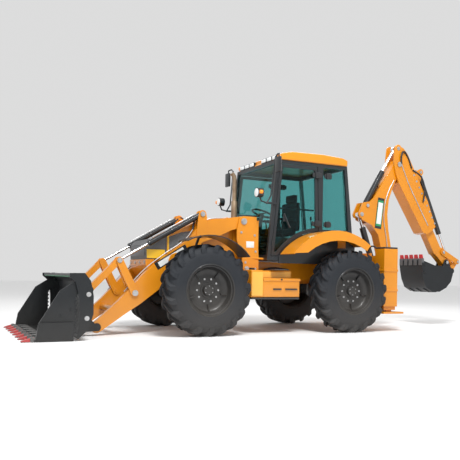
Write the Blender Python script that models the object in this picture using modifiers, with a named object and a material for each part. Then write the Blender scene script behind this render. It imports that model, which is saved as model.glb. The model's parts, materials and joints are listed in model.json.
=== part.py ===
"""Rigid-frame backhoe loader with four equal wheels, a clam bucket and a telescopic dipper.

Metres, +X forward, +Y left, +Z up, ground at Z = 0.  Places are first given from the middle of the
wheelbase; the empty "machine" then moves everything so that the origin lies under the box centre.
"""
import bpy
import bmesh
from math import asin, atan2, cos, degrees, pi, radians, sin
from mathutils import Matrix, Vector

# ---- driving dimensions -------------------------------------------------------------------------
originShift = 0.3680          # from mid-wheelbase to the middle of the whole machine
wheelbase = 2.574
track = 1.958
tyreRadius = 0.6825
tyreWidth = 0.42
rimRadius = 0.385
kingpinInset = 0.059          # kingpin lies this far inboard of the wheel's middle plane
railHalf, railWidth = 0.38, 0.12
railTop, railBottom = 1.14, 0.84
armY, armThick = 0.52, 0.09   # loader arm's middle plane and thickness
bucketWidth, bucketWall = 2.40, 0.03
cabHalf, cabWall = 0.74, 0.05
boomHalf = 0.10
dipperHalf = 0.11
digWidth = 0.62
legY, legWide = 0.925, 0.25
gap = 0.0003                  # between pieces that touch
play = 0.006                  # beside a moving piece
pinPlay = 0.001

# pins, as (X, Z) from mid-wheelbase
frontAxle = Vector((wheelbase / 2, tyreRadius))
rearAxle = Vector((-wheelbase / 2, tyreRadius))
armPin = Vector((0.479, 1.776))
liftBase = Vector((0.42, 1.02))
liftEye = Vector((1.56, 1.06))
leverPin = Vector((2.253, 0.622))
leverTop = Vector((2.494, 1.103))
kneePin = Vector((1.190, 1.855))
bucketPin = Vector((2.815, 0.125))
earPin = Vector((2.925, 0.665))
jawPin = Vector((3.13, 0.785))
hoodPin = Vector((0.335, 1.80))
boomFoot = Vector((-2.88, 0.98))
boomCylBase = Vector((-2.66, 0.90))
boomCylEye = Vector((-2.215, 2.09))
dipCylBase = Vector((-2.34, 2.26))
dipperPin = Vector((-3.045, 3.087))
dipCylEye = Vector((-3.02, 3.39))
stickEnd = Vector((-4.32, 1.244))
rockerPin = Vector((-4.225, 1.445))
rockerTip = Vector((-4.61, 1.262))
digLinkPin = Vector((-4.471, 1.075))
digCylBase = Vector((-3.640, 3.000))
digCylEye = rockerPin.lerp(rockerTip, 0.49)
swingX = -2.42

for old in list(bpy.data.objects):
    bpy.data.objects.remove(old, do_unlink=True)
parts = bpy.data.collections.new("backhoe_loader")
bpy.context.scene.collection.children.link(parts)
machine = bpy.data.objects.new("machine", None)
parts.objects.link(machine)
machine.location = (originShift, 0, 0)

colours = {
    "orange": ((0.83, 0.30, 0.015), 0.35, 0.0), "black": ((0.02, 0.022, 0.025), 0.45, 0.0),
    "charcoal": ((0.03, 0.033, 0.038), 0.4, 0.0), "tyre": ((0.02, 0.022, 0.026), 0.85, 0.0),
    "steel": ((0.55, 0.56, 0.58), 0.3, 1.0), "chrome": ((0.8, 0.8, 0.8), 0.12, 1.0),
    "grey": ((0.25, 0.26, 0.27), 0.5, 0.0), "glass": ((0.05, 0.16, 0.17), 0.08, 0.0),
    "seat": ((0.03, 0.03, 0.032), 0.8, 0.0), "cream": ((0.78, 0.62, 0.30), 0.4, 0.0),
}


def material(name, finish):
    colour, rough, metal = colours[finish]
    mat = bpy.data.materials.new(name)
    mat.use_nodes = True
    shader = mat.node_tree.nodes["Principled BSDF"]
    shader.inputs["Base Color"].default_value = (*colour, 1)
    shader.inputs["Roughness"].default_value = rough
    shader.inputs["Metallic"].default_value = metal
    return mat


# ---- shape helpers: each returns an object in machine coordinates ---------------------------------
def linked(name, mesh):
    obj = bpy.data.objects.new(name, mesh)
    parts.objects.link(obj)
    return obj


def evaluated(obj):
    """The object's finished mesh in machine coordinates, with close vertices welded."""
    bpy.context.view_layer.update()
    mesh = bpy.data.meshes.new_from_object(obj.evaluated_get(bpy.context.evaluated_depsgraph_get()))
    mesh.transform(obj.matrix_world)
    shape = bmesh.new()
    shape.from_mesh(mesh)
    bmesh.ops.remove_doubles(shape, verts=shape.verts, dist=0.00002)
    bmesh.ops.recalc_face_normals(shape, faces=shape.faces)
    shape.to_mesh(mesh)
    shape.free()
    return mesh


def fresh(obj):
    mesh = evaluated(obj)
    bpy.data.objects.remove(obj, do_unlink=True)
    return linked("shape", mesh)


def box(low, high, bevel=0.0):
    bpy.ops.mesh.primitive_cube_add(size=1, location=[(a + b) / 2 for a, b in zip(low, high)])
    obj = bpy.context.object
    obj.data.transform(Matrix.Diagonal([b - a for a, b in zip(low, high)] + [1]))
    if bevel:
        edge = obj.modifiers.new("edge", "BEVEL")
        edge.width = bevel
        edge.segments = 2
    return fresh(obj)


def barrel(start, end, radius, sides=16):
    """A round bar between two points."""
    start, end = Vector(start), Vector(end)
    bpy.ops.mesh.primitive_cylinder_add(vertices=sides, radius=radius, depth=(end - start).length,
                                        location=(start + end) / 2)
    obj = bpy.context.object
    obj.rotation_euler = (end - start).to_track_quat("Z", "Y").to_euler()
    return fresh(obj)


def cross(pin, y0, y1, radius, sides=16):
    """A round bar across the machine at an (X, Z) point."""
    return barrel((pin[0], y0, pin[1]), (pin[0], y1, pin[1]), radius, sides)


def flat(outline, holes, thick):
    """A flat plate in the XY plane with round holes, (X, Y, radius) each, centred on Z = 0."""
    curve = bpy.data.curves.new("outline", "CURVE")
    curve.dimensions = "2D"
    curve.fill_mode = "BOTH"
    curve.extrude = thick / 2
    rings = [list(outline)]
    rings += [[(x + r * cos(pi * i / 8), y + r * sin(pi * i / 8)) for i in range(16)] for x, y, r in holes]
    for ring in rings:
        spline = curve.splines.new("POLY")
        spline.points.add(len(ring) - 1)
        for point, (x, y) in zip(spline.points, ring):
            point.co = (x, y, 0, 1)
        spline.use_cyclic_u = True
    obj = bpy.data.objects.new("plate", curve)
    parts.objects.link(obj)
    return obj


def plate(outline, y0, y1, holes=()):
    """A plate standing along the machine, from an (X, Z) outline, between two Y planes."""
    obj = flat(outline, holes, abs(y1 - y0))
    obj.rotation_euler = (pi / 2, 0, 0)
    obj.location = (0, (y0 + y1) / 2, 0)
    return fresh(obj)


def turned(profile, centre, axis, steps=36):
    """A profile of (radius, height) turned about an axis through centre."""
    mesh = bpy.data.meshes.new("profile")
    mesh.from_pydata([(r, 0, h) for r, h in profile], [(i, i + 1) for i in range(len(profile) - 1)], [])
    obj = linked("profile", mesh)
    screw = obj.modifiers.new("turn", "SCREW")
    screw.steps = screw.render_steps = steps
    screw.use_merge_vertices = True
    screw.merge_threshold = 0.0001
    obj.rotation_euler = Vector(axis).to_track_quat("Z", "Y").to_euler()
    obj.location = centre
    return fresh(obj)


def pipe(points, radius, resolution=3):
    curve = bpy.data.curves.new("pipe", "CURVE")
    curve.dimensions = "3D"
    curve.bevel_depth = radius
    curve.bevel_resolution = resolution
    curve.use_fill_caps = True
    spline = curve.splines.new("POLY")
    spline.points.add(len(points) - 1)
    for point, place in zip(spline.points, points):
        point.co = (*place, 1)
    obj = bpy.data.objects.new("pipe", curve)
    parts.objects.link(obj)
    return fresh(obj)


def boolean(base, tools, operation):
    for tool in tools:
        step = base.modifiers.new("step", "BOOLEAN")
        step.operation = operation
        step.object = tool
        mesh = evaluated(base)
        base.modifiers.clear()
        base.data = mesh
        bpy.data.objects.remove(tool, do_unlink=True)
    return base


def join(base, *tools):
    return boolean(base, tools, "UNION")


def cut(base, *tools):
    return boolean(base, tools, "DIFFERENCE")


def arc(centre, radius, start, end, steps=8):
    """Points on an arc, in degrees from +X towards +Z."""
    turn = [radians(start + (end - start) * i / steps) for i in range(steps + 1)]
    return [(centre[0] + radius * cos(a), centre[1] + radius * sin(a)) for a in turn]


def strap(a, b, ra, rb, steps=6):
    """A link's outline: two round ends joined by straight sides."""
    a, b = Vector(a), Vector(b)
    heading = degrees(atan2(b.y - a.y, b.x - a.x))
    lean = degrees(asin((ra - rb) / (b - a).length))
    return (arc(b, rb, heading - 90 + lean, heading + 90 - lean, steps)
            + arc(a, ra, heading + 90 - lean, heading + 270 + lean, steps))


bodies = {}


def body(name, parent=None, pin=None, y=0.0):
    """An empty on the joint's axis; the pieces of the body hang from it."""
    empty = bpy.data.objects.new("axis_" + name, None)
    parts.objects.link(empty)
    place = Vector((pin[0], y, pin[1])) if pin is not None else Vector((0, 0, 0))
    above = bodies[parent] if parent else (machine, Vector((0, 0, 0)))
    empty.parent = above[0]
    empty.location = place - above[1]
    bodies[name] = (empty, place)


def finish(obj, name, finishName, owner="chassis"):
    """Names a finished shape, gives it its material and hangs it on its body."""
    empty, place = bodies[owner]
    obj.name = name
    obj.data.name = name
    obj.data.transform(Matrix.Translation(-place))
    obj.parent = empty
    obj.data.materials.clear()
    obj.data.materials.append(material(name, finishName))
    obj.data.shade_smooth()
    obj.data.set_sharp_from_angle(angle=radians(35))
    return obj


def cylinderPair(base, eye, y, bore, rodRadius, closedShare, retract, barrelBody, rodBody, name, baseHole, side=""):
    """A hydraulic cylinder: a barrel pinned at base and a rod whose eye lies at the far pin.

    The rod can go in by retract before it meets the bottom of the barrel.
    """
    base, eye = Vector((base[0], y, base[1])), Vector((eye[0], y, eye[1]))
    run = (eye - base).normalized()
    length = (eye - base).length
    gland = base + run * length * closedShare
    eyeRadius = bore * 0.98
    eyeHalf, rodEyeHalf = bore * 0.9, bore * 0.66
    tube = barrel(base + run * eyeRadius * 0.5, gland, bore)
    knob = barrel(base - Vector((0, eyeHalf, 0)), base + Vector((0, eyeHalf, 0)), eyeRadius)
    tube = join(tube, knob)
    sleeve = rodRadius + gap * 2
    tube = cut(tube, barrel(base + run * (eyeRadius + 0.04), gland + run * 0.05, sleeve),
               barrel(base - Vector((0, bore * 2, 0)), base + Vector((0, bore * 2, 0)), baseHole + pinPlay))
    rod = barrel(base + run * (eyeRadius + 0.05 + retract), eye - run * eyeRadius * 0.5, rodRadius)
    rod = join(rod, barrel(eye - Vector((0, rodEyeHalf, 0)), eye + Vector((0, rodEyeHalf, 0)), eyeRadius * 0.9))
    finish(tube, name + "_barrel" + side, "black", barrelBody)
    finish(rod, name + "_rod" + side, "chrome", rodBody)


# ---- chassis --------------------------------------------------------------------------------------
body("chassis")
armIn, armOut = armY - armThick / 2, armY + armThick / 2
towerFoot = 0.85


def towerPlates(side):
    outline = ([(0.205, towerFoot), (0.20, 1.20), (0.25, 1.86)] + arc(armPin, 0.085, 90, 10, 6)
               + [(0.60, 1.62), (0.60, 1.48), (0.50, 1.20), (0.50, towerFoot)])
    inner, outer = armIn - 0.024, armOut + 0.026
    shape = plate(outline, side * inner, side * (armIn - play))
    low, high = sorted((side * (inner + 0.002), side * (outer - 0.002)))
    web = box((0.21, low, towerFoot + 0.002), (0.235, high, 1.80))
    low, high = sorted((side * (railHalf - 0.02), side * (outer - 0.003)))
    foot = box((0.215, low, towerFoot + 0.003), (0.49, high, 0.93))
    pins = [cross(armPin, side * (inner - 0.012), side * (outer + 0.012), 0.035),
            cross(liftBase, side * (inner - 0.006), side * (outer + 0.006), 0.026)]
    return join(shape, web, plate(outline, side * (armOut + play), side * outer), foot, *pins)


def mainFrame():
    low, high = railHalf - railWidth, railHalf
    frame = box((-1.955, low, railBottom), (1.935, high, railTop))
    frame = join(frame, box((-1.955, -high, railBottom), (1.935, -low, railTop)))
    for x in (-1.90, -0.80, -0.10, 0.60, 1.88):
        frame = join(frame, box((x - 0.05, -low - 0.01, railBottom + 0.01), (x + 0.05, low + 0.01, railTop - 0.03)))
    engineBed = box((0.80, -low - 0.01, railBottom + 0.004), (1.70, low + 0.01, railBottom + 0.05))
    # the bumper's underside stays inside the cross tube's sweep about the arm pin
    bumper = plate([(1.915, 0.872), (1.95, 0.872), (2.05, 1.05), (2.05, railTop - 0.004), (1.915, railTop - 0.004)],
                   -0.43, 0.43)
    saddles = [box((x - 0.13, min(s * 0.25, s * 0.37), 0.78), (x + 0.13, max(s * 0.25, s * 0.37), railBottom + 0.02))
               for x in (frontAxle.x, rearAxle.x) for s in (1, -1)]
    cowl = box((0.205, -0.33, railTop - 0.01), (0.345, 0.33, 1.775))
    lugs = [box((0.30, y - 0.02, 1.765), (0.351, y + 0.02, 1.818)) for y in (-0.30, 0.30)]
    frame = join(frame, engineBed, bumper, *saddles, cowl, *lugs, cross(hoodPin, -0.315, 0.315, 0.012, 12))
    frame = join(frame, towerPlates(1))
    frame = join(frame, towerPlates(-1))
    for side in (1, -1):
        low, high = sorted((side * (railHalf - 0.02), side * tankIn))
        frame = join(frame, box((-0.26, low, 0.86), (-0.16, high, 0.94)))
        low, high = sorted((side * 0.27, side * 0.37))
        for x in (-0.20, 0.02):
            frame = join(frame, box((x - 0.04, low, railTop - 0.02), (x + 0.04, high, cabFloor - gap)))
        low, high = sorted((side * (railHalf - 0.02), side * (cabHalf + 0.012)))
        frame = join(frame, box((-1.40, low, 1.00), (-1.20, high, railTop - 0.005)))
        low, high = sorted((side * (cabHalf - 0.05), side * (cabHalf + 0.012)))
        frame = join(frame, box((-1.40, low, 1.02), (-1.20, high, 1.50)))
    return frame


tankIn = 0.5945
cabFloor = 1.16
finish(mainFrame(), "main_frame", "orange")


def axle(x, steered):
    beam = barrel((x, -0.77, tyreRadius), (x, 0.77, tyreRadius), 0.085, 20)
    beam = join(beam, turned([(0.0, 0.19), (0.10, 0.17), (0.155, 0.06), (0.155, -0.06), (0.10, -0.17), (0.0, -0.19)],
                             (x, 0, tyreRadius), (1, 0, 0), 20))
    beam = join(beam, box((x - 0.11, -0.36, tyreRadius), (x + 0.11, 0.36, 0.78 - gap)))
    for side in (1, -1):
        if steered:
            back = sorted((side * 0.735, side * 0.775))
            reach = sorted((side * 0.765, side * 0.958))
            beam = join(beam, box((x - 0.06, back[0], tyreRadius - 0.19), (x + 0.06, back[1], tyreRadius + 0.19)))
            for z in (tyreRadius + yokeHalf + gap, tyreRadius - yokeHalf - gap - 0.04):
                beam = join(beam, box((x - 0.055, reach[0], z), (x + 0.055, reach[1], z + 0.04)))
        else:
            hub = side * (track / 2)
            beam = join(beam, barrel((x, side * 0.72, tyreRadius), (x, hub - side * 0.03, tyreRadius), 0.145, 20))
            beam = join(beam, barrel((x, side * 0.90, tyreRadius), (x, hub + side * 0.075, tyreRadius), spindle, 24))
    return beam


yokeHalf = 0.145
spindle = 0.089
finish(axle(frontAxle.x, True), "front_axle", "black")
finish(axle(rearAxle.x, False), "rear_axle", "black")
finish(box((0.78, -0.25, railBottom + 0.05 + gap), (1.68, 0.25, 1.40), 0.02), "engine_block", "grey")


def noseHousing():
    outline = [(1.7153, railTop + gap), (2.04, railTop + gap), (2.05, 1.36), (1.98, 1.44), (1.7153, 1.50)]
    return cut(plate(outline, -0.43, 0.43), box((1.70, -0.40, 1.17), (2.01, 0.40, 1.40)))


def hoodShell():
    outer = [(0.36, 1.18), (0.36, 1.845), (1.23, 1.75), (1.60, 1.56), (1.715, 1.505), (1.715, 1.18)]
    inner = [(0.368, 1.10), (0.368, 1.837), (1.228, 1.742), (1.597, 1.552), (1.707, 1.499), (1.707, 1.10)]
    shell = cut(plate(outer, -0.43, 0.43), plate(inner, -0.422, 0.422))
    hinge = join(cross(hoodPin, -0.20, 0.20, 0.018), box((0.335, -0.20, 1.787), (0.364, 0.20, 1.813)))
    return cut(join(shell, hinge), cross(hoodPin, -0.25, 0.25, 0.012 + pinPlay))


body("hood", "chassis", hoodPin)
finish(noseHousing(), "nose_grille", "grey", "hood")
finish(hoodShell(), "engine_hood", "orange", "hood")


def fuelTank():
    front = box((0.31, tankIn + gap, 0.57), (0.53, 0.98, 1.0), 0.02)
    return join(front, box((-0.30, tankIn + gap, 0.575), (0.34, 0.80, 0.995), 0.012))


battery = join(box((-0.34, 0.79, 0.578), (0.32, 0.985, 0.84), 0.01), box((-0.35, 0.79, 0.83), (0.32, 0.998, 0.874), 0.008))
finish(join(fuelTank(), battery), "fuel_tank_and_battery_box", "orange")
finish(box((-0.34, -0.98, 0.57), (0.53, -tankIn - gap, 1.0), 0.02), "hydraulic_tank", "orange")

# ---- cab ------------------------------------------------------------------------------------------
cabTop = 2.80
archRadius = 1.016
fenderCentre, fenderRadius = (-0.93, 0.60), 1.06
cabFront, cabRear = 0.13, -1.53


def cabFrame():
    outer = ([(cabFront, cabFloor), (-0.035, cabTop), (-1.40, cabTop), (cabRear, 1.62)]
             + arc(rearAxle, archRadius, 67.6, 28.1, 6))
    inner = ([(0.075, cabFloor + cabWall), (-0.080, 2.75), (-1.352, 2.75), (-1.470, 1.67)]
             + arc(rearAxle, archRadius + cabWall, 68.1, 29.7, 6))
    door = [(0.062, 1.23), (-0.090, 2.74), (-0.81, 2.74), (-0.85, 1.70)] + arc(fenderCentre, 1.069, 85.7, 36.2, 6)
    side = [(-0.92, 2.74), (-1.349, 2.74), (-1.449, 1.70), (-0.92, 1.70)]
    half = cabHalf - cabWall
    shell = cut(plate(outer, -cabHalf, cabHalf), plate(door, -cabHalf - 0.1, cabHalf + 0.1),
                plate(side, -cabHalf - 0.1, cabHalf + 0.1), plate(inner, -half, half))
    shell = cut(shell, box((-0.078, -half + 0.004, 1.25), (0.3, half - 0.004, 2.74)),
                box((-1.7, -half + 0.004, 1.72), (-1.40, half - 0.004, 2.74)),
                box((-1.33, -0.66, 2.70), (-0.13, 0.66, 2.9)))
    shell = cut(shell, box((-1.55, -half + 0.004, 1.72), (-1.35, half - 0.004, 2.739)))
    return shell


column = barrel((0.02, 0, cabFloor + cabWall - 0.01), (-0.17, 0, 1.98), 0.035, 12)
wheelRing = turned([(0.185 + 0.016 * cos(a), 0.016 * sin(a)) for a in [i * pi / 3 for i in range(7)]],
                   (-0.175, 0, 1.99), (-0.35, 0, 1), 20)
spokes = barrel((-0.17, -0.185, 1.99), (-0.17, 0.185, 1.99), 0.012, 8)
finish(join(cabFrame(), join(column, spokes, wheelRing)), "cab_frame", "charcoal")


def cabRoof():
    outline = [(-0.06, cabTop + gap), (-0.096, 2.85), (-0.10, 2.905), (-0.30, 2.945), (-0.90, 2.957),
               (-1.30, 2.935), (-1.40, 2.90), (-1.40, cabTop + gap)]
    return plate(outline, -0.764, 0.764)


finish(cabRoof(), "cab_roof", "orange")
glassHalf = cabHalf - cabWall + 0.004 - 0.0085


def pane(a, b, thick=0.008):
    """A pane across the cab, leaning from a to b."""
    run = (Vector(b) - Vector(a)).normalized()
    side = Vector((run.y, -run.x)) * thick
    return plate([a, b, (b[0] - side.x, b[1] - side.y), (a[0] - side.x, a[1] - side.y)], -0.6855, 0.6855)


finish(pane((0.1148, 1.2520), (-0.034, 2.7390)), "windscreen", "glass")
sideGlass = [(-0.9205, 2.7395), (-1.3445, 2.7395), (-1.4445, 1.7005), (-0.9205, 1.7005)]
rearGlass = pane((-1.440, 1.7205), (-1.3442, 2.7200))
band = [(-1.3400, 2.72), (-1.3442, 2.72), (-1.4436, 1.7215), (-1.4300, 1.7215)]
for side in (1, -1):
    rearGlass = join(rearGlass, plate(sideGlass, side * 0.700, side * 0.708), plate(band, side * 0.68, side * 0.704))
finish(rearGlass, "rear_cab_glass", "glass")

seat = join(box((-0.33, -0.17, cabFloor + cabWall + 0.001), (-0.20, 0.17, 1.61), 0.02),
            box((-0.72, -0.26, 1.60), (-0.17, 0.26, 1.73), 0.04),
            box((-0.80, -0.25, 1.66), (-0.67, 0.25, 2.32), 0.05))
finish(seat, "operator_seat", "seat")
finish(pipe([(0.262, -0.235, 1.775 + gap), (0.262, -0.235, 2.55), (0.272, -0.235, 2.63), (0.317, -0.235, 2.68)], 0.038),
       "exhaust_pipe", "steel")

for side, label in ((1, "left"), (-1, "right")):
    bar = pipe([(0.29, side * 0.765, 2.17), (0.26, side * 0.765, 2.10), (0.16, side * 0.765, 2.08),
                (0.09, side * 0.765, 2.20), (0.03, side * 0.79, 2.82), (0.03, side * 0.86, 2.86),
                (0.05, side * 0.94, 2.85), (0.06, side * 0.94, 2.60)], 0.013)
    foot = box((-0.02, min(side * (cabHalf + gap), side * 0.775), 2.065), (0.17, max(side * (cabHalf + gap), side * 0.775), 2.095))
    low, high = sorted((side * 0.86, side * 1.02))
    lamp = barrel((0.24, side * 0.74, 2.235), (0.335, side * 0.74, 2.235), 0.075, 20)
    finish(join(bar, foot, lamp, box((0.045, low, 2.55), (0.085, high, 2.80), 0.012)), "mirror_and_lamp_" + label, "charcoal")

# ---- doors, hinged at the leaning front pillar ------------------------------------------------------
doorIn, doorOut = 0.702, 0.738
doorHinge = Vector((-0.012, 2.0))
hingeLean = Vector((-0.152, 0, 1.51)).normalized()
for side, label in ((1, "left"), (-1, "right")):
    outline = [(0.053, 1.238), (-0.097, 2.732), (-0.802, 2.732), (-0.842, 1.698)] + arc(fenderCentre, 1.078, 85.3, 36.4, 6)
    glassEdge = [(0.000, 1.30), (-0.140, 2.68), (-0.752, 2.68), (-0.785, 1.745)] + arc(fenderCentre, 1.135, 82.6, 38.2, 6)
    body("door_" + label, "chassis", doorHinge, side * (cabHalf + 0.004))
    doorFrame = cut(plate(outline, side * doorIn, side * doorOut), plate(glassEdge, side * 0.6, side * 0.8))
    inset = [(-0.0008, 1.3012), (-0.1405, 2.6792), (-0.7512, 2.6792), (-0.7842, 1.7452)]
    finish(doorFrame, "door_" + label, "charcoal", "door_" + label)
    finish(plate(inset + arc(fenderCentre, 1.1358, 82.55, 38.25, 6), side * 0.716, side * 0.724),
           "door_glass_" + label, "glass", "door_" + label)

# ---- rear fenders, knuckles and wheels ----------------------------------------------------------------
fenderIn, fenderOut = cabHalf + gap, 1.19
fenderTop = arc(fenderCentre, fenderRadius, 39.0, 128.0, 12)
fenderLow = arc(fenderCentre, 1.045, 128.0, 39.0, 12)
fenders = plate(arc(fenderCentre, 1.058, 112.0, 126.0, 4) + arc(fenderCentre, 1.047, 126.0, 112.0, 4), -0.76, 0.76)
for side in (1, -1):
    fenders = join(fenders, plate(fenderTop + fenderLow, side * (cabHalf + 0.013), side * fenderOut))
    lip = plate(arc(fenderCentre, 1.055, 39.6, 127.5, 12) + arc((-0.98, 0.50), 1.0, 122.0, 52.0, 8),
                side * (fenderOut - 0.014), side * (fenderOut - 0.001))
    flange = plate([(-1.38, 1.40), (-1.22, 1.40), (-1.22, 1.610), (-1.38, 1.548)],
                   side * (cabHalf + 0.012 + gap), side * (cabHalf + 0.024))
    fenders = join(fenders, lip, flange)
finish(fenders, "rear_fenders", "orange")

wheelProfile = [(0.0, 0.135), (0.09, 0.13), (0.14, 0.07), (0.31, 0.065), (0.345, 0.17), (rimRadius, 0.198),
                (0.50, tyreWidth / 2), (0.61, 0.205), (tyreRadius, 0.15), (tyreRadius, -0.15), (0.61, -0.205),
                (0.50, -tyreWidth / 2), (rimRadius, -0.198), (0.345, -0.17), (0.31, 0.04), (0.15, 0.045),
                (0.15, 0.0), (spindle + pinPlay, 0.0), (spindle + pinPlay, 0.085), (0.0, 0.085)]


def wheel(corner, end, side, parent):
    hub = Vector((end.x, side * track / 2, end.y))
    body("wheel_" + corner, parent, end, side * track / 2)
    finish(turned(wheelProfile, hub, (0, side, 0), 24), "wheel_" + corner, "tyre", "wheel_" + corner)


guardRadius = 0.80
for side, label in ((1, "left"), (-1, "right")):
    kingpin = track / 2 - kingpinInset
    body("knuckle_" + label, "chassis", frontAxle, side * kingpin)
    x, z = frontAxle
    shape = barrel((x, side * kingpin, z - yokeHalf), (x, side * kingpin, z + yokeHalf), 0.052, 20)
    shape = join(shape, barrel((x, side * kingpin, z), (x, side * (track / 2 + 0.075), z), spindle, 24))
    strut = pipe([(x + 0.02, side * kingpin, z + 0.05), (x + 0.10, side * 0.915, z + 0.06), (x + 0.17, side * 0.88, z + 0.08),
                  (x + 0.19, side * 0.80, z + 0.10), (x + 0.185, side * 0.735, z + 0.16), (x + 0.13, side * 0.735, z + 0.40),
                  (x + 0.06, side * 0.735, z + 0.70), (x + 0.04, side * 0.765, z + 0.785), (x + 0.04, side * 0.84, z + 0.805)], 0.02)
    guard = plate(arc(frontAxle, guardRadius + 0.014, 62, 141, 10) + arc(frontAxle, guardRadius, 141, 62, 10),
                  side * 0.80, side * 1.189)
    finish(join(shape, strut, guard), "front_knuckle_" + label, "black", "knuckle_" + label)
    wheel("front_" + label, frontAxle, side, "knuckle_" + label)
    wheel("rear_" + label, rearAxle, side, "chassis")

# ---- loader arms and their linkage -------------------------------------------------------------------
cheek, cheekThick = 0.050, 0.016            # side plates of a clevis, from an arm's middle plane
body("loader_arms", "chassis", armPin)
body("lift_barrels", "chassis", liftBase)
body("lift_rods", "lift_barrels", liftBase)
body("tilt_levers", "loader_arms", leverPin)
body("tilt_links", "tilt_levers", leverTop)
body("tilt_barrels", "loader_arms", kneePin)
body("tilt_rods", "tilt_barrels", kneePin)
body("loader_bucket", "loader_arms", bucketPin)
body("clam_jaw", "loader_bucket", jawPin)


def pair(outline, y, near=cheek, thick=cheekThick, holes=()):
    """Two plates either side of a middle plane."""
    return [plate(outline, y - near - thick, y - near, holes), plate(outline, y + near, y + near + thick, holes)]


def loaderArm(side):
    y = side * armY
    outline = (arc(armPin, 0.085, 260, 90, 8) + [(0.997, 1.782), (1.118, 1.755), (1.30, 1.60), (1.379, 1.481),
               (1.781, 1.191), (2.092, 0.942), (2.496, 0.509), (2.80, 0.235)] + arc(bucketPin, 0.085, 30, -120, 6)
               + [(2.387, 0.317), (2.161, 0.464), (1.883, 0.674), (1.60, 0.955), (1.34, 1.23), (1.18, 1.415),
                  (0.889, 1.530), (0.698, 1.622)])
    half = armThick / 2
    arm = plate(outline, y - half, y + half, [(*armPin, 0.035 + pinPlay), (*leverPin, 0.03 + pinPlay),
                                             (*bucketPin, 0.03 + pinPlay)])
    knee = [(1.115, 1.50), (1.115, 1.80)] + arc(kneePin, 0.062, 160, 0, 6) + [(1.262, 1.80), (1.29, 1.50)]
    lug = strap((1.62, 1.12), liftEye, 0.12, 0.065)
    tools = pair(knee, y, 0.044) + pair(lug, y, 0.044)
    near, far = y - cheek - cheekThick, y + cheek + cheekThick
    arm = join(arm, *tools)
    recess = [(1.30, 0.98), (1.30, 1.20), (1.40, 1.185), (1.50, 1.15), (1.58, 1.0)]
    arm = cut(arm, cross(kneePin, y - cheek, y + cheek, 0.075), cross(liftEye, y - cheek, y + cheek, 0.125, 20),
              plate(recess, y - cheek, y + cheek))
    return join(arm, cross(kneePin, near - 0.008, far + 0.008, 0.022))


crossTubes = [cross(place, -armIn + gap, armIn + 0.01, 0.055) for place in ((1.979, 0.780), (2.475, 0.365))]
finish(join(loaderArm(1), *crossTubes), "loader_arm_left", "orange", "loader_arms")
finish(loaderArm(-1), "loader_arm_right", "orange", "loader_arms")

for side, label in ((1, "_left"), (-1, "_right")):
    y = side * armY
    cylinderPair(liftBase, liftEye, y, 0.046, 0.026, 0.80, 0.03, "lift_barrels", "lift_rods", "lift", 0.026, label)
    cylinderPair(kneePin, leverTop, y, 0.043, 0.022, 0.66, 0.29, "tilt_barrels", "tilt_rods", "tilt", 0.022, label)
    near, far = y - cheek - cheekThick, y + cheek + cheekThick
    lever = join(*pair(strap(leverPin, leverTop, 0.062, 0.052), y), cross(leverPin, near - 0.008, far + 0.008, 0.03))
    for inner, outer in ((-far + 2 * y, y - 0.034), (y + 0.034, far)):
        lever = join(lever, cross(leverTop, inner, outer, 0.019))
    finish(lever, "tilt_lever" + label, "orange", "tilt_levers")
    link = plate(strap(leverTop, earPin, 0.046, 0.046), y - 0.047, y + 0.047, [(*leverTop, 0.019 + pinPlay)])
    free = [leverTop + Vector((-0.1, -0.1)), leverTop + Vector((-0.1, 0.1)), leverTop + Vector((0.1, 0.1)),
            leverTop + Vector((0.13, 0.0)), leverTop + Vector((0.1, -0.1))]
    finish(cut(link, plate(free, y - 0.033, y + 0.033)), "tilt_link" + label, "orange", "tilt_links")

# ---- clam bucket -------------------------------------------------------------------------------------
half = bucketWidth / 2
backOuter = [(3.31, 0.895), (3.13, 0.90), (3.05, 0.80), (3.01, 0.60), (3.01, 0.36), (3.07, 0.16), (3.20, 0.03)]
backInner = [(3.235, 0.06), (3.10, 0.18), (3.045, 0.37), (3.045, 0.59), (3.085, 0.78), (3.16, 0.865), (3.31, 0.865)]
seam = [(3.222, 0.035), (3.192, 0.18), (3.197, 0.55), (3.215, 0.66)]


def bucketBack():
    sheet = plate(backOuter + backInner, -half + 0.002, half - 0.002)
    side = ([(3.325, 0.902), (3.125, 0.906), (3.044, 0.803), (3.004, 0.601), (3.004, 0.357), (3.064, 0.156),
             (3.198, 0.026)] + seam + [(3.25, 0.79), (3.325, 0.855)])
    for s in (1, -1):
        corner = [s * (half - bucketWall - play - 0.034), s * (half + 0.01)]
        sheet = cut(sheet, box((2.9, min(corner), 0.70), (3.4, max(corner), 1.0)))
        sheet = join(sheet, plate(side, s * (half - bucketWall), s * half))
        y = s * armY
        pinEar = [(3.04, 0.10), (3.04, 0.36), (2.86, 0.20)] + arc(bucketPin, 0.062, 60, 240, 6) + [(3.0, 0.06)]
        linkEar = [(3.03, 0.52)] + arc(earPin, 0.055, 250, 110, 6) + [(3.06, 0.80)]
        sheet = join(sheet, *pair(pinEar, y, 0.051), *pair(linkEar, y, 0.051))
        sheet = join(sheet, cross(bucketPin, y - 0.075, y + 0.075, 0.03))
    hub = [cross(jawPin, s * (half - 0.004), s * (half - bucketWall - play - 0.038), 0.03) for s in (1, -1)]
    return join(sheet, *hub)


finish(bucketBack(), "loader_bucket", "black", "loader_bucket")


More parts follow.
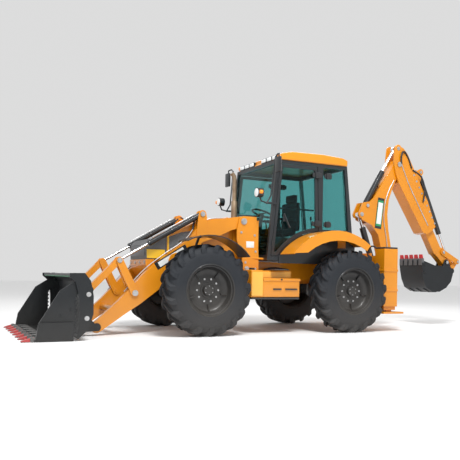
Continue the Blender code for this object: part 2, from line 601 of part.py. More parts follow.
def clamJaw():
    wallOut = half - bucketWall - play
    side = ([(3.262, 0.03), (3.745, 0.022), (3.734, 0.10), (3.712, 0.229), (3.441, 0.669), (3.30, 0.76)]
            + arc(jawPin, 0.07, 60, 240, 6) + [(3.236, 0.60), (3.236, 0.18)])
    floor = plate([(3.262, 0.0), (3.70, 0.0), (3.765, 0.012), (3.765, 0.026), (3.262, 0.036)], -half, half)
    shape = floor
    for s in (1, -1):
        shape = join(shape, plate(side, s * (wallOut - 0.028), s * wallOut, [(*jawPin, 0.03 + pinPlay)]))
        shape = join(shape, plate([(3.262, 0.02), (3.745, 0.02), (3.734, 0.10), (3.70, 0.25), (3.262, 0.25)],
                                  s * (wallOut - 0.002), s * half))
    for i in range(8):
        y = (i - 3.5) * (bucketWidth - 0.12) / 7
        shape = join(shape, plate([(3.66, 0.002), (3.924, 0.004), (3.924, 0.012), (3.76, 0.055), (3.66, 0.055)],
                                  y - 0.03, y + 0.03))
    return shape


finish(clamJaw(), "clam_jaw", "black", "clam_jaw")

# ---- backhoe frame and stabilisers -------------------------------------------------------------------
frameFront, frameBack = -1.98, -2.27
legTop, legFoot = 1.41, 0.42
legIn, legOut = legY - legWide / 2, legY + legWide / 2
tubeWall = 0.022


def legTube(side):
    low, high = sorted((side * legIn, side * legOut))
    tube = box((frameBack, low, legFoot), (frameFront, high, legTop))
    hollow = box((frameBack + tubeWall, low + tubeWall, legFoot - 0.05), (frameFront - tubeWall, high - tubeWall, legTop - 0.03))
    return tube, hollow


def backhoeFrame():
    tubes = [legTube(side) for side in (1, -1)]
    shape = box((-2.24, -legIn - 0.01, 1.12), (-2.06, legIn + 0.01, 1.30))
    shape = join(shape, box((-2.24, -legIn - 0.01, 0.56), (-2.06, legIn + 0.01, 0.74)))
    shape = join(shape, box((-2.22, -0.42, 0.70), (-2.18, 0.42, 1.16)))
    for s in (1, -1):
        low, high = sorted((s * 0.26, s * 0.38))
        shape = join(shape, box((-2.10, low, 0.72), (-1.955 - gap, high, 1.14)))
    shape = join(shape, *[tube for tube, _ in tubes])
    return cut(shape, *[hollow for _, hollow in tubes])


finish(backhoeFrame(), "backhoe_frame", "orange")
for side, label in ((1, "left"), (-1, "right")):
    body("stabiliser_" + label, "chassis", ((frameFront + frameBack) / 2, legFoot), side * legY)
    inset = tubeWall + 0.0006
    low, high = sorted((side * (legIn + inset), side * (legOut - inset)))
    leg = box((frameBack + inset, low, 0.36), (frameFront - inset, high, 1.30))
    neck = box((-2.20, side * legY - 0.06, 0.33), (-2.09, side * legY + 0.06, 0.37))
    pad = box((-2.36, side * legY - 0.19, 0.30), (-1.93, side * legY + 0.19, 0.332))
    finish(join(leg, neck, pad), "stabiliser_leg_" + label, "orange", "stabiliser_" + label)

# ---- side-shift carriage, swing post, boom and dipper --------------------------------------------------
body("carriage", "chassis", (-2.30, 0.9))
body("swing_post", "carriage", (swingX, 0.9))
body("boom", "swing_post", boomFoot)
body("boom_barrel", "swing_post", boomCylBase)
body("boom_rod", "boom_barrel", boomCylBase)
body("dipper", "boom", dipperPin)
body("dipper_barrel", "boom", dipCylBase)
body("dipper_rod", "dipper_barrel", dipCylBase)
body("dipper_extension", "dipper", dipperPin)
body("dig_barrel", "dipper_extension", digCylBase)
body("dig_rod", "dig_barrel", digCylBase)
body("dig_rocker", "dipper_extension", rockerPin)
body("dig_push_link", "dig_rocker", rockerTip)
body("dig_bucket", "dipper_extension", stickEnd)

plateBack = -2.2403
carriage = box((plateBack - 0.03, -0.34, 0.50), (plateBack, 0.34, 1.36))
for z in (0.56, 1.00):
    knuckle = join(box((swingX, -0.10, z), (plateBack - 0.02, 0.10, z + 0.08)),
                   barrel((swingX, 0, z), (swingX, 0, z + 0.08), 0.10, 20))
    carriage = join(carriage, knuckle)
carriage = cut(carriage, barrel((swingX, 0, 0.4), (swingX, 0, 1.5), 0.045 + pinPlay, 20))
finish(carriage, "swing_carriage", "orange", "carriage")

post = barrel((swingX, 0, 0.64 + gap), (swingX, 0, 1.00 - gap), 0.09, 20)
post = join(post, barrel((swingX, 0, 0.555), (swingX, 0, 1.085), 0.045, 20))
post = join(post, box((-2.56, -0.134, 0.66), (swingX, 0.134, 0.98)))
cheekOuter = [(-2.50, 0.664), (-2.50, 0.97), (-2.55, 0.98), (-2.60, 1.10), (-2.80, 1.10)] + arc(boomFoot, 0.10, 80, 270, 8) + [(-2.75, 0.72)]
for s in (1, -1):
    post = join(post, plate(cheekOuter, s * (boomHalf + play), s * (boomHalf + play + 0.03)))
post = cut(post, box((-3.2, -boomHalf - play, 0.6), (-2.548, boomHalf + play, 1.3)))
post = join(post, cross(boomFoot, -0.141, 0.141, 0.035), cross(boomCylBase, -0.141, 0.141, 0.03))
finish(post, "swing_post", "orange", "swing_post")


def boomShape():
    outline = (arc(boomFoot, 0.085, 170, 330, 6) + [(-2.72, 1.30), (-2.60, 1.72), (-2.45, 1.90), (-2.22, 1.99)]
               + arc(boomCylEye, 0.07, 270, 400, 5) + [(-2.24, 2.31), (-2.40, 2.34), (-2.487, 2.416), (-2.738, 2.774),
                                                       (-2.90, 3.02)]
               + arc(dipperPin, 0.095, 35, 215, 6) + [(-3.025, 2.836), (-2.93, 2.64), (-2.84, 2.40), (-2.81, 2.115),
                                                      (-2.84, 1.83), (-2.91, 1.49)])
    solid = plate(outline, -boomHalf, boomHalf, [(*boomFoot, 0.035 + pinPlay), (*dipperPin, 0.035 + pinPlay)])
    slotHalf = 0.066
    pocket = plate([(-2.10, 1.90), (-2.42, 1.94), (-2.47, 2.10), (-2.53, 2.36), (-2.67, 2.62), (-2.60, 2.85),
                    (-2.05, 2.6)], -slotHalf, slotHalf)
    return join(cut(solid, pocket), cross(dipCylBase, -boomHalf - 0.01, boomHalf + 0.01, 0.026))


finish(boomShape(), "boom", "orange", "boom")
cylinderPair(boomCylBase, boomCylEye, 0, 0.058, 0.032, 0.80, 0.02, "boom_barrel", "boom_rod", "boom", 0.03)
cylinderPair(dipCylBase, dipCylEye, 0, 0.055, 0.030, 0.60, 0.465, "dipper_barrel", "dipper_rod", "dipper", 0.026)

# the stick's own directions: along it (s, away from the boom) and across it (n, away from the cab)
along = Vector((-0.513, -0.858)).normalized()
across = Vector((along.y, -along.x))


def onStick(s, n):
    """A point s along and n across the stick from the dipper's pivot."""
    return dipperPin + along * s + across * n


def stickBox(s0, s1, n0, n1, y0, y1):
    return plate([onStick(s0, n0), onStick(s1, n0), onStick(s1, n1), onStick(s0, n1)], y0, y1)


slideHalf = 0.075                        # half width of the telescopic extension
slideLow, slideHigh = -0.03, 0.175       # its depth across the stick
stickWall = 0.03


def dipperShape():
    wide = boomHalf + play + stickWall
    outline = [onStick(-0.10, -0.09), *arc(dipCylEye, 0.075, 5, 150, 6), onStick(-0.22, 0.25), onStick(-0.08, 0.286),
               onStick(0.95, 0.286), onStick(1.47, 0.215), onStick(1.49, 0.10), onStick(1.49, -0.05),
               onStick(1.42, -0.12), onStick(0.30, -0.181), onStick(0.10, -0.15)]
    shape = plate(outline, -wide, wide)
    inner = boomHalf + play
    shape = cut(shape, stickBox(-0.6, 0.29, -0.5, 0.5, -inner, inner),
                stickBox(0.20, 1.60, slideLow - 0.001, 0.5, -slideHalf - 0.001, slideHalf + 0.001))
    return join(shape, cross(dipperPin, -wide - 0.01, wide + 0.01, 0.035))


finish(dipperShape(), "dipper", "orange", "dipper")


def extensionShape():
    bar = stickBox(0.30, 1.95, slideLow, slideHigh, -slideHalf, slideHalf)
    nose = plate([onStick(2.08, 0.03), onStick(1.90, slideLow + 0.004), onStick(1.90, slideHigh - 0.004),
                  onStick(1.96, 0.235), onStick(2.07, 0.235)] + arc(stickEnd, 0.075, 149, 329, 8),
                 -slideHalf + 0.002, slideHalf - 0.002, [(*stickEnd, 0.028 + pinPlay)])
    bar = join(bar, nose)
    lugs = pair([onStick(0.72, slideHigh - 0.02), onStick(0.31, slideHigh - 0.02)]
                + arc(digCylBase, 0.062, 59, 239, 6), 0, 0.054, 0.019)
    bar = join(bar, *lugs)
    return join(bar, cross(digCylBase, -0.08, 0.08, 0.024), cross(rockerPin, -slideHalf - 0.045, slideHalf + 0.045, 0.026))


finish(extensionShape(), "dipper_extension", "orange", "dipper_extension")
cylinderPair(digCylBase, digCylEye, 0, 0.05, 0.027, 0.72, 0.19, "dig_barrel", "dig_rod", "dig", 0.024)

linkIn, linkThick = slideHalf + play, 0.022
rocker = join(*pair(strap(rockerPin, rockerTip, 0.055, 0.05), 0, linkIn, linkThick, [(*rockerPin, 0.026 + pinPlay)]),
              cross(rockerTip, -linkIn - linkThick - 0.01, linkIn + linkThick + 0.01, 0.024))
finish(rocker, "dig_rocker", "orange", "dig_rocker")
push = plate(strap(rockerTip, digLinkPin, 0.05, 0.05), -0.055, 0.055, [(*rockerTip, 0.024 + pinPlay)])
finish(push, "dig_push_link", "orange", "dig_push_link")


def digBucket():
    wide = digWidth / 2
    rim = [(-3.50, 1.268), (-3.83, 1.168), (-4.20, 1.160), (-4.28, 1.10)]
    shell = [(-4.30, 1.05), (-4.24, 0.86), (-4.12, 0.74), (-3.95, 0.66), (-3.76, 0.66), (-3.61, 0.74), (-3.53, 0.90),
             (-3.49, 1.08)]
    inner = [(-3.525, 1.10), (-3.562, 0.92), (-3.63, 0.78), (-3.77, 0.695), (-3.94, 0.695), (-4.09, 0.77),
             (-4.20, 0.88), (-4.262, 1.05), (-4.25, 1.09)]
    sheet = plate([(-4.28, 1.10)] + shell + [(-3.49, 1.268), (-3.515, 1.268)] + inner, -wide + 0.002, wide - 0.002)
    for s in (1, -1):
        sheet = join(sheet, plate(rim + shell, s * (wide - 0.025), s * wide))
    ear = [(-4.10, 1.02), (-4.16, 0.84), (-4.30, 0.90), (-4.42, 1.0)] + arc(digLinkPin, 0.055, 220, 60, 5) \
        + arc(stickEnd, 0.06, 160, 30, 5) + [(-4.20, 1.12)]
    ears = pair(ear, 0, slideHalf + play, 0.025, [])
    sheet = join(sheet, *ears, box((-4.30, -0.11, 0.93), (-4.23, 0.11, 1.05)))
    sheet = join(sheet, cross(stickEnd, -0.12, 0.12, 0.028))
    for i in range(5):
        y = (i - 2) * (digWidth - 0.08) / 4
        sheet = join(sheet, plate([(-3.53, 1.20), (-3.53, 1.30), (-3.50, 1.375), (-3.485, 1.375), (-3.478, 1.20)],
                                  y - 0.03, y + 0.03))
    return sheet


finish(digBucket(), "dig_bucket", "black", "dig_bucket")
bpy.context.view_layer.update()
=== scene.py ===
import bpy
import bmesh
import json
from math import cos, pi, radians, sin
from mathutils import Matrix, Vector


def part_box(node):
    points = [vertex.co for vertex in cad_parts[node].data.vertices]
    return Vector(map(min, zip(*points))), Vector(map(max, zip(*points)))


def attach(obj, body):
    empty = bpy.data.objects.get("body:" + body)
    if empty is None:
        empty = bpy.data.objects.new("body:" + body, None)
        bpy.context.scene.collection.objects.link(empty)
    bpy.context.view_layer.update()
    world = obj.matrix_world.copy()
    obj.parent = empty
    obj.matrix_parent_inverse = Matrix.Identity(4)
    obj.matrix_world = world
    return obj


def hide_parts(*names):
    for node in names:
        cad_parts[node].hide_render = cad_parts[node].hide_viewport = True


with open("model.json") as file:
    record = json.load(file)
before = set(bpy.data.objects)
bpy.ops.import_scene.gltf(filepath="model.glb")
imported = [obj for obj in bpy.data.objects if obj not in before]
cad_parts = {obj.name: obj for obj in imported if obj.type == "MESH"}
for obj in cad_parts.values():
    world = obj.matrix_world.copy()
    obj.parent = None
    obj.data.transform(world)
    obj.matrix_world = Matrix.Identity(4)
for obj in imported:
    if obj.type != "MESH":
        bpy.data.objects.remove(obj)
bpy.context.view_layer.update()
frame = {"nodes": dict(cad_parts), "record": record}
shiftX = 0.3680  # places below are given from the middle of the wheelbase


def at(x, y, z):
    return Vector((x + shiftX, y, z))


# ---- shared node groups -------------------------------------------------------
def newGroup(name, inputs, outputs):
    group = bpy.data.node_groups.new(name, "ShaderNodeTree")
    for label, kind, value in inputs:
        socket = group.interface.new_socket(label, in_out="INPUT", socket_type=kind)
        socket.default_value = value
    for label, kind in outputs:
        group.interface.new_socket(label, in_out="OUTPUT", socket_type=kind)
    return group, group.nodes.new("NodeGroupInput"), group.nodes.new("NodeGroupOutput")


def buildCoatGroup():
    # cloudy tint, fine speckle and dust that thickens towards the ground
    group, given, made = newGroup("coatWear", [
        ("Color", "NodeSocketColor", (0.8, 0.3, 0.02, 1)), ("Dark", "NodeSocketColor", (0.4, 0.15, 0.01, 1)),
        ("Dust", "NodeSocketColor", (0.35, 0.30, 0.24, 1)), ("Cloud Scale", "NodeSocketFloat", 2.0),
        ("Cloud Amount", "NodeSocketFloat", 0.3), ("Dust Amount", "NodeSocketFloat", 0.25),
        ("Dust Top", "NodeSocketFloat", 1.2), ("Rough Low", "NodeSocketFloat", 0.3),
        ("Rough High", "NodeSocketFloat", 0.5)],
        [("Color", "NodeSocketColor"), ("Roughness", "NodeSocketFloat"), ("Height", "NodeSocketFloat")])
    add, link = group.nodes.new, group.links.new
    coords = add("ShaderNodeTexCoord")
    cloud, speck = add("ShaderNodeTexNoise"), add("ShaderNodeTexNoise")
    cloud.inputs["Detail"].default_value = 6
    speck.inputs["Scale"].default_value = 90
    speck.inputs["Detail"].default_value = 4
    for noise in (cloud, speck):
        link(coords.outputs["Object"], noise.inputs["Vector"])
    link(given.outputs["Cloud Scale"], cloud.inputs["Scale"])
    spread = add("ShaderNodeMapRange")
    spread.inputs["From Min"].default_value, spread.inputs["From Max"].default_value = 0.35, 0.7
    link(cloud.outputs["Fac"], spread.inputs["Value"])
    shade = add("ShaderNodeMath")
    shade.operation = "MULTIPLY"
    link(spread.outputs["Result"], shade.inputs[0])
    link(given.outputs["Cloud Amount"], shade.inputs[1])
    tint = add("ShaderNodeMix")
    tint.data_type = "RGBA"
    link(shade.outputs[0], tint.inputs[0])
    link(given.outputs["Color"], tint.inputs[6])
    link(given.outputs["Dark"], tint.inputs[7])
    split = add("ShaderNodeSeparateXYZ")
    link(coords.outputs["Object"], split.inputs[0])
    fall = add("ShaderNodeMapRange")
    fall.inputs["To Min"].default_value, fall.inputs["To Max"].default_value = 1.0, 0.0
    link(split.outputs["Z"], fall.inputs["Value"])
    link(given.outputs["Dust Top"], fall.inputs["From Max"])
    patch = add("ShaderNodeMath")
    patch.operation = "MULTIPLY"
    link(fall.outputs["Result"], patch.inputs[0])
    link(speck.outputs["Fac"], patch.inputs[1])
    dusting = add("ShaderNodeMath")
    dusting.operation = "MULTIPLY"
    link(patch.outputs[0], dusting.inputs[0])
    link(given.outputs["Dust Amount"], dusting.inputs[1])
    dusted = add("ShaderNodeMix")
    dusted.data_type = "RGBA"
    link(dusting.outputs[0], dusted.inputs[0])
    link(tint.outputs[2], dusted.inputs[6])
    link(given.outputs["Dust"], dusted.inputs[7])
    rough = add("ShaderNodeMapRange")
    link(speck.outputs["Fac"], rough.inputs["Value"])
    link(given.outputs["Rough Low"], rough.inputs["To Min"])
    link(given.outputs["Rough High"], rough.inputs["To Max"])
    link(dusted.outputs[2], made.inputs["Color"])
    link(rough.outputs["Result"], made.inputs["Roughness"])
    link(speck.outputs["Fac"], made.inputs["Height"])
    return group


coatGroup = buildCoatGroup()

finishes = {
    "amberPaint": {"Color": (0.74, 0.265, 0.003), "Dark": (0.55, 0.180, 0.002), "Cloud Amount": 0.35,
                   "Dust Amount": 0.12, "Rough Low": 0.22, "Rough High": 0.42, "metal": 0.0, "bump": 0.02, "coat": 0.4},
    "brightYellow": {"Color": (0.90, 0.56, 0.03), "Dark": (0.8, 0.42, 0.02), "Cloud Amount": 0.3,
                     "Dust Amount": 0.2, "Rough Low": 0.25, "Rough High": 0.4, "metal": 0.0, "bump": 0.02, "coat": 0.3},
    "paleCream": {"Color": (0.86, 0.46, 0.06), "Dark": (0.74, 0.36, 0.04), "Cloud Amount": 0.3,
                  "Dust Amount": 0.3, "Rough Low": 0.3, "Rough High": 0.45, "metal": 0.0, "bump": 0.02, "coat": 0.2},
    "bucketBlack": {"Color": (0.004, 0.006, 0.008), "Dark": (0.010, 0.013, 0.016), "Cloud Scale": 5.0,
                    "Cloud Amount": 0.45, "Dust Amount": 0.10, "Dust Top": 0.6, "Rough Low": 0.32, "Rough High": 0.62,
                    "metal": 0.1, "bump": 0.08, "coat": 0.1},
    "barrelBlack": {"Color": (0.014, 0.016, 0.018), "Dark": (0.03, 0.03, 0.032), "Cloud Amount": 0.4,
                    "Dust Amount": 0.15, "Rough Low": 0.25, "Rough High": 0.4, "metal": 0.0, "bump": 0.02, "coat": 0.3},
    "cabCharcoal": {"Color": (0.012, 0.015, 0.018), "Dark": (0.022, 0.026, 0.030), "Cloud Amount": 0.4,
                    "Dust Amount": 0.1, "Rough Low": 0.3, "Rough High": 0.5, "metal": 0.0, "bump": 0.03, "coat": 0.2},
    "rodChrome": {"Color": (0.80, 0.81, 0.83), "Dark": (0.6, 0.6, 0.62), "Cloud Amount": 0.3,
                  "Dust Amount": 0.05, "Rough Low": 0.08, "Rough High": 0.18, "metal": 1.0, "bump": 0.0, "coat": 0.0},
    "pinSteel": {"Color": (0.62, 0.63, 0.64), "Dark": (0.35, 0.34, 0.33), "Cloud Scale": 12.0,
                 "Cloud Amount": 0.5, "Dust Amount": 0.2, "Rough Low": 0.28, "Rough High": 0.5, "metal": 0.85,
                 "bump": 0.05, "coat": 0.0},
    "toothRed": {"Color": (0.50, 0.012, 0.018), "Dark": (0.28, 0.01, 0.015), "Cloud Scale": 9.0,
                 "Cloud Amount": 0.6,
                 "Dust Amount": 0.3, "Rough Low": 0.35, "Rough High": 0.55, "metal": 0.0, "bump": 0.05, "coat": 0.2},
    "stripGreen": {"Color": (0.02, 0.32, 0.12), "Dark": (0.01, 0.2, 0.08), "Cloud Amount": 0.4,
                   "Dust Amount": 0.2, "Rough Low": 0.35, "Rough High": 0.5, "metal": 0.0, "bump": 0.02, "coat": 0.1},
    "frameGrey": {"Color": (0.13, 0.135, 0.14), "Dark": (0.07, 0.07, 0.075), "Cloud Scale": 6.0,
                  "Cloud Amount": 0.5, "Dust Amount": 0.3, "Rough Low": 0.4, "Rough High": 0.6, "metal": 0.3,
                  "bump": 0.06, "coat": 0.0},
    "tyreRubber": {"Color": (0.008, 0.011, 0.016), "Dark": (0.015, 0.018, 0.023), "Cloud Scale": 7.0,
                   "Cloud Amount": 0.5, "Dust Amount": 0.22, "Dust Top": 0.8, "Rough Low": 0.62, "Rough High": 0.85,
                   "metal": 0.0, "bump": 0.12, "coat": 0.0},
    "rimBlack": {"Color": (0.008, 0.009, 0.011), "Dark": (0.016, 0.018, 0.020), "Cloud Scale": 6.0,
                 "Cloud Amount": 0.5, "Dust Amount": 0.3, "Rough Low": 0.35, "Rough High": 0.55, "metal": 0.1,
                 "bump": 0.04, "coat": 0.1},
    "hoseRubber": {"Color": (0.012, 0.014, 0.018), "Dark": (0.03, 0.035, 0.045), "Cloud Scale": 20.0,
                   "Cloud Amount": 0.5, "Dust Amount": 0.1, "Rough Low": 0.4, "Rough High": 0.6, "metal": 0.0,
                   "bump": 0.1, "coat": 0.1},
    "exhaustTan": {"Color": (0.36, 0.27, 0.18), "Dark": (0.20, 0.13, 0.08), "Cloud Scale": 8.0,
                   "Cloud Amount": 0.7, "Dust Amount": 0.1, "Rough Low": 0.4, "Rough High": 0.6, "metal": 0.6,
                   "bump": 0.06, "coat": 0.0},
    "whitePlate": {"Color": (0.80, 0.82, 0.80), "Dark": (0.66, 0.68, 0.66), "Cloud Amount": 0.3,
                   "Dust Amount": 0.15, "Rough Low": 0.3, "Rough High": 0.45, "metal": 0.0, "bump": 0.01, "coat": 0.2},
    "seatCloth": {"Color": (0.030, 0.033, 0.038), "Dark": (0.055, 0.06, 0.066), "Cloud Scale": 30.0,
                  "Cloud Amount": 0.5, "Dust Amount": 0.0, "Rough Low": 0.8, "Rough High": 0.95, "metal": 0.0,
                  "bump": 0.25, "coat": 0.0},
    "floorMat": {"Color": (0.04, 0.042, 0.045), "Dark": (0.07, 0.07, 0.072), "Cloud Scale": 15.0,
                 "Cloud Amount": 0.5, "Dust Amount": 0.2, "Rough Low": 0.6, "Rough High": 0.8, "metal": 0.0,
                 "bump": 0.2, "coat": 0.0},
}
madeMaterials = {}


def paint(name):
    if name in madeMaterials:
        return madeMaterials[name]
    spec = finishes[name]
    mat = bpy.data.materials.new(name)
    mat.use_nodes = True
    nodes, link = mat.node_tree.nodes, mat.node_tree.links.new
    shader = nodes["Principled BSDF"]
    coat = nodes.new("ShaderNodeGroup")
    coat.node_tree = coatGroup
    for label, value in spec.items():
        if label in coat.inputs:
            coat.inputs[label].default_value = (*value, 1) if isinstance(value, tuple) else value
    bump = nodes.new("ShaderNodeBump")
    bump.inputs["Strength"].default_value = spec["bump"]
    bump.inputs["Distance"].default_value = 0.01
    link(coat.outputs["Color"], shader.inputs["Base Color"])
    link(coat.outputs["Roughness"], shader.inputs["Roughness"])
    link(coat.outputs["Height"], bump.inputs["Height"])
    link(bump.outputs["Normal"], shader.inputs["Normal"])
    shader.inputs["Metallic"].default_value = spec["metal"]
    shader.inputs["Coat Weight"].default_value = spec["coat"]
    madeMaterials[name] = mat
    return mat


def glassMaterial(name, colour, rough):
    mat = bpy.data.materials.new(name)
    mat.use_nodes = True
    nodes, link = mat.node_tree.nodes, mat.node_tree.links.new
    shader = nodes["Principled BSDF"]
    noise = nodes.new("ShaderNodeTexNoise")
    noise.inputs["Scale"].default_value = 3
    coords = nodes.new("ShaderNodeTexCoord")
    spread = nodes.new("ShaderNodeMapRange")
    spread.inputs["To Min"].default_value, spread.inputs["To Max"].default_value = rough, rough + 0.05
    link(coords.outputs["Object"], noise.inputs["Vector"])
    link(noise.outputs["Fac"], spread.inputs["Value"])
    link(spread.outputs["Result"], shader.inputs["Roughness"])
    shader.inputs["Base Color"].default_value = (*colour, 1)
    shader.inputs["Transmission Weight"].default_value = 1.0
    shader.inputs["IOR"].default_value = 1.25
    return mat


def meshMaterial():
    # woven wire over dark: two crossing wave bands
    mat = bpy.data.materials.new("grilleMesh")
    mat.use_nodes = True
    nodes, link = mat.node_tree.nodes, mat.node_tree.links.new
    shader = nodes["Principled BSDF"]
    coords = nodes.new("ShaderNodeTexCoord")
    bands = []
    for direction in ("X", "Z"):
        wave = nodes.new("ShaderNodeTexWave")
        wave.bands_direction = direction
        wave.inputs["Scale"].default_value = 28
        link(coords.outputs["Object"], wave.inputs["Vector"])
        bands.append(wave)
    crossing = nodes.new("ShaderNodeMath")
    crossing.operation = "MULTIPLY"
    link(bands[0].outputs["Fac"], crossing.inputs[0])
    link(bands[1].outputs["Fac"], crossing.inputs[1])
    mix = nodes.new("ShaderNodeMix")
    mix.data_type = "RGBA"
    mix.inputs[6].default_value = (0.20, 0.21, 0.22, 1)
    mix.inputs[7].default_value = (0.015, 0.016, 0.018, 1)
    link(crossing.outputs[0], mix.inputs[0])
    link(mix.outputs[2], shader.inputs["Base Color"])
    bump = nodes.new("ShaderNodeBump")
    bump.inputs["Strength"].default_value = 0.5
    bump.inputs["Distance"].default_value = 0.005
    bump.invert = True
    link(crossing.outputs[0], bump.inputs["Height"])
    link(bump.outputs["Normal"], shader.inputs["Normal"])
    shader.inputs["Metallic"].default_value = 0.5
    shader.inputs["Roughness"].default_value = 0.45
    return mat


def lampMaterial(name, colour, glow):
    mat = bpy.data.materials.new(name)
    mat.use_nodes = True
    nodes, link = mat.node_tree.nodes, mat.node_tree.links.new
    shader = nodes["Principled BSDF"]
    ribs = nodes.new("ShaderNodeTexWave")
    ribs.inputs["Scale"].default_value = 30
    coords = nodes.new("ShaderNodeTexCoord")
    link(coords.outputs["Object"], ribs.inputs["Vector"])
    bump = nodes.new("ShaderNodeBump")
    bump.inputs["Strength"].default_value = 0.3
    bump.inputs["Distance"].default_value = 0.004
    link(ribs.outputs["Fac"], bump.inputs["Height"])
    link(bump.outputs["Normal"], shader.inputs["Normal"])
    shader.inputs["Base Color"].default_value = (*colour, 1)
    shader.inputs["Roughness"].default_value = 0.12
    shader.inputs["Emission Color"].default_value = (*colour, 1)
    shader.inputs["Emission Strength"].default_value = glow
    return mat


tealGlass = glassMaterial("tealGlass", (0.30, 0.62, 0.62), 0.01)
grilleMesh = meshMaterial()
whiteLens = lampMaterial("whiteLens", (0.80, 0.84, 0.85), 0.15)
amberLens = lampMaterial("amberLens", (0.95, 0.30, 0.02), 0.15)
redLens = lampMaterial("redLens", (0.65, 0.02, 0.02), 0.1)
print("materials ready")


# ---- mesh helpers -------------------------------------------------------------
def settle(mesh, name, body, mat, angle=35, stands=(), bevel=0.0):
    shape = bpy.data.objects.new(name, mesh)
    bpy.context.scene.collection.objects.link(shape)
    mesh.materials.clear()
    mesh.materials.append(mat)
    mesh.shade_smooth()
    mesh.set_sharp_from_angle(angle=radians(angle))
    if bevel:
        edge = shape.modifiers.new("edge", "BEVEL")
        edge.width = bevel
        edge.segments = 2
        edge.limit_method = "ANGLE"
        edge.angle_limit = radians(38)
        edge.harden_normals = True
    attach(shape, body)
    if stands:
        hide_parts(*stands)
    return shape


def piece(bm, name, body, mat, angle=35, stands=(), bevel=0.0, fixNormals=True):
    bmesh.ops.remove_doubles(bm, verts=bm.verts, dist=0.00005)
    if fixNormals:
        bmesh.ops.recalc_face_normals(bm, faces=bm.faces)
    mesh = bpy.data.meshes.new(name)
    bm.to_mesh(mesh)
    bm.free()
    return settle(mesh, name, body, mat, angle, stands, bevel)


def addBlock(bm, low, high, bevel=0.0, turn=None, segments=2):
    low, high = Vector(low), Vector(high)
    made = bmesh.ops.create_cube(bm, size=1)["verts"]
    bmesh.ops.scale(bm, vec=high - low, verts=made)
    if bevel:
        edges = list({e for v in made for e in v.link_edges})
        made = bmesh.ops.bevel(bm, geom=edges, offset=bevel, segments=segments, profile=0.5,
                               affect="EDGES", material=-1)["verts"]
    place = Matrix.Translation((low + high) / 2)
    bmesh.ops.transform(bm, matrix=place @ turn if turn else place, verts=made)
    return made


def addBar(bm, start, end, radius, sides=16, tip=None, chamfer=0.0):
    start, end = Vector(start), Vector(end)
    made = bmesh.ops.create_cone(bm, cap_ends=True, segments=sides, radius1=radius,
                                 radius2=radius if tip is None else tip, depth=(end - start).length)["verts"]
    if chamfer:
        rims = [e for e in {e for v in made for e in v.link_edges} if abs(e.verts[0].co.z - e.verts[1].co.z) < 1e-6]
        made = bmesh.ops.bevel(bm, geom=rims, offset=chamfer, segments=2, profile=0.5, affect="EDGES",
                               material=-1)["verts"]
        made = list(set(made) | {v for e in rims if e.is_valid for v in e.verts})
    turn = (end - start).to_track_quat("Z", "Y").to_matrix().to_4x4()
    bmesh.ops.transform(bm, matrix=Matrix.Translation((start + end) / 2) @ turn,
                        verts=[v for v in made if v.is_valid])
    return made


def addBolt(bm, place, axis, radius=0.016, height=0.012):
    place, axis = Vector(place), Vector(axis).normalized()
    addBar(bm, place, place + axis * height * 0.35, radius * 1.5, 14)
    addBar(bm, place + axis * height * 0.3, place + axis * height, radius, 6)


def addPlate(bm, outline, y0, y1):
    # a flat plate from (x, z) corners, between two planes across the machine
    corners = [bm.verts.new(at(x, y0, z)) for x, z in outline]
    face = bm.faces.new(corners)
    grown = bmesh.ops.extrude_face_region(bm, geom=[face])["geom"]
    moved = [g for g in grown if isinstance(g, bmesh.types.BMVert)]
    bmesh.ops.translate(bm, vec=(0, y1 - y0, 0), verts=moved)
    return moved


def hose(name, body, points, radius, mat, smooth=True):
    curve = bpy.data.curves.new(name, "CURVE")
    curve.dimensions = "3D"
    curve.bevel_depth = radius
    curve.bevel_resolution = 3
    curve.resolution_u = 6
    curve.use_fill_caps = True
    line = curve.splines.new("BEZIER" if smooth else "POLY")
    if smooth:
        line.bezier_points.add(len(points) - 1)
        for knot, place in zip(line.bezier_points, points):
            knot.co = place
            knot.handle_left_type = knot.handle_right_type = "AUTO"
    else:
        line.points.add(len(points) - 1)
        for knot, place in zip(line.points, points):
            knot.co = (*place, 1)
    source = bpy.data.objects.new(name + "Line", curve)
    bpy.context.scene.collection.objects.link(source)
    bpy.context.view_layer.update()
    mesh = bpy.data.meshes.new_from_object(source.evaluated_get(bpy.context.evaluated_depsgraph_get()))
    bpy.data.objects.remove(source)
    return settle(mesh, name, body, mat, 60)


def bodyOf(node):
    return next(b for b, nodes in frame["record"]["behaviour"]["bodies"].items() if node in nodes)


def softened(node, mat, bevel, angle=30):
    # the frame's own shape with merged faces and rounded edges
    bm = bmesh.new()
    bm.from_mesh(frame["nodes"][node].data)
    bmesh.ops.remove_doubles(bm, verts=bm.verts, dist=0.00005)
    bmesh.ops.dissolve_limit(bm, angle_limit=radians(1.0), verts=bm.verts, edges=bm.edges)
    return piece(bm, node + "Shape", bodyOf(node), mat, angle, (node,), bevel, fixNormals=False)


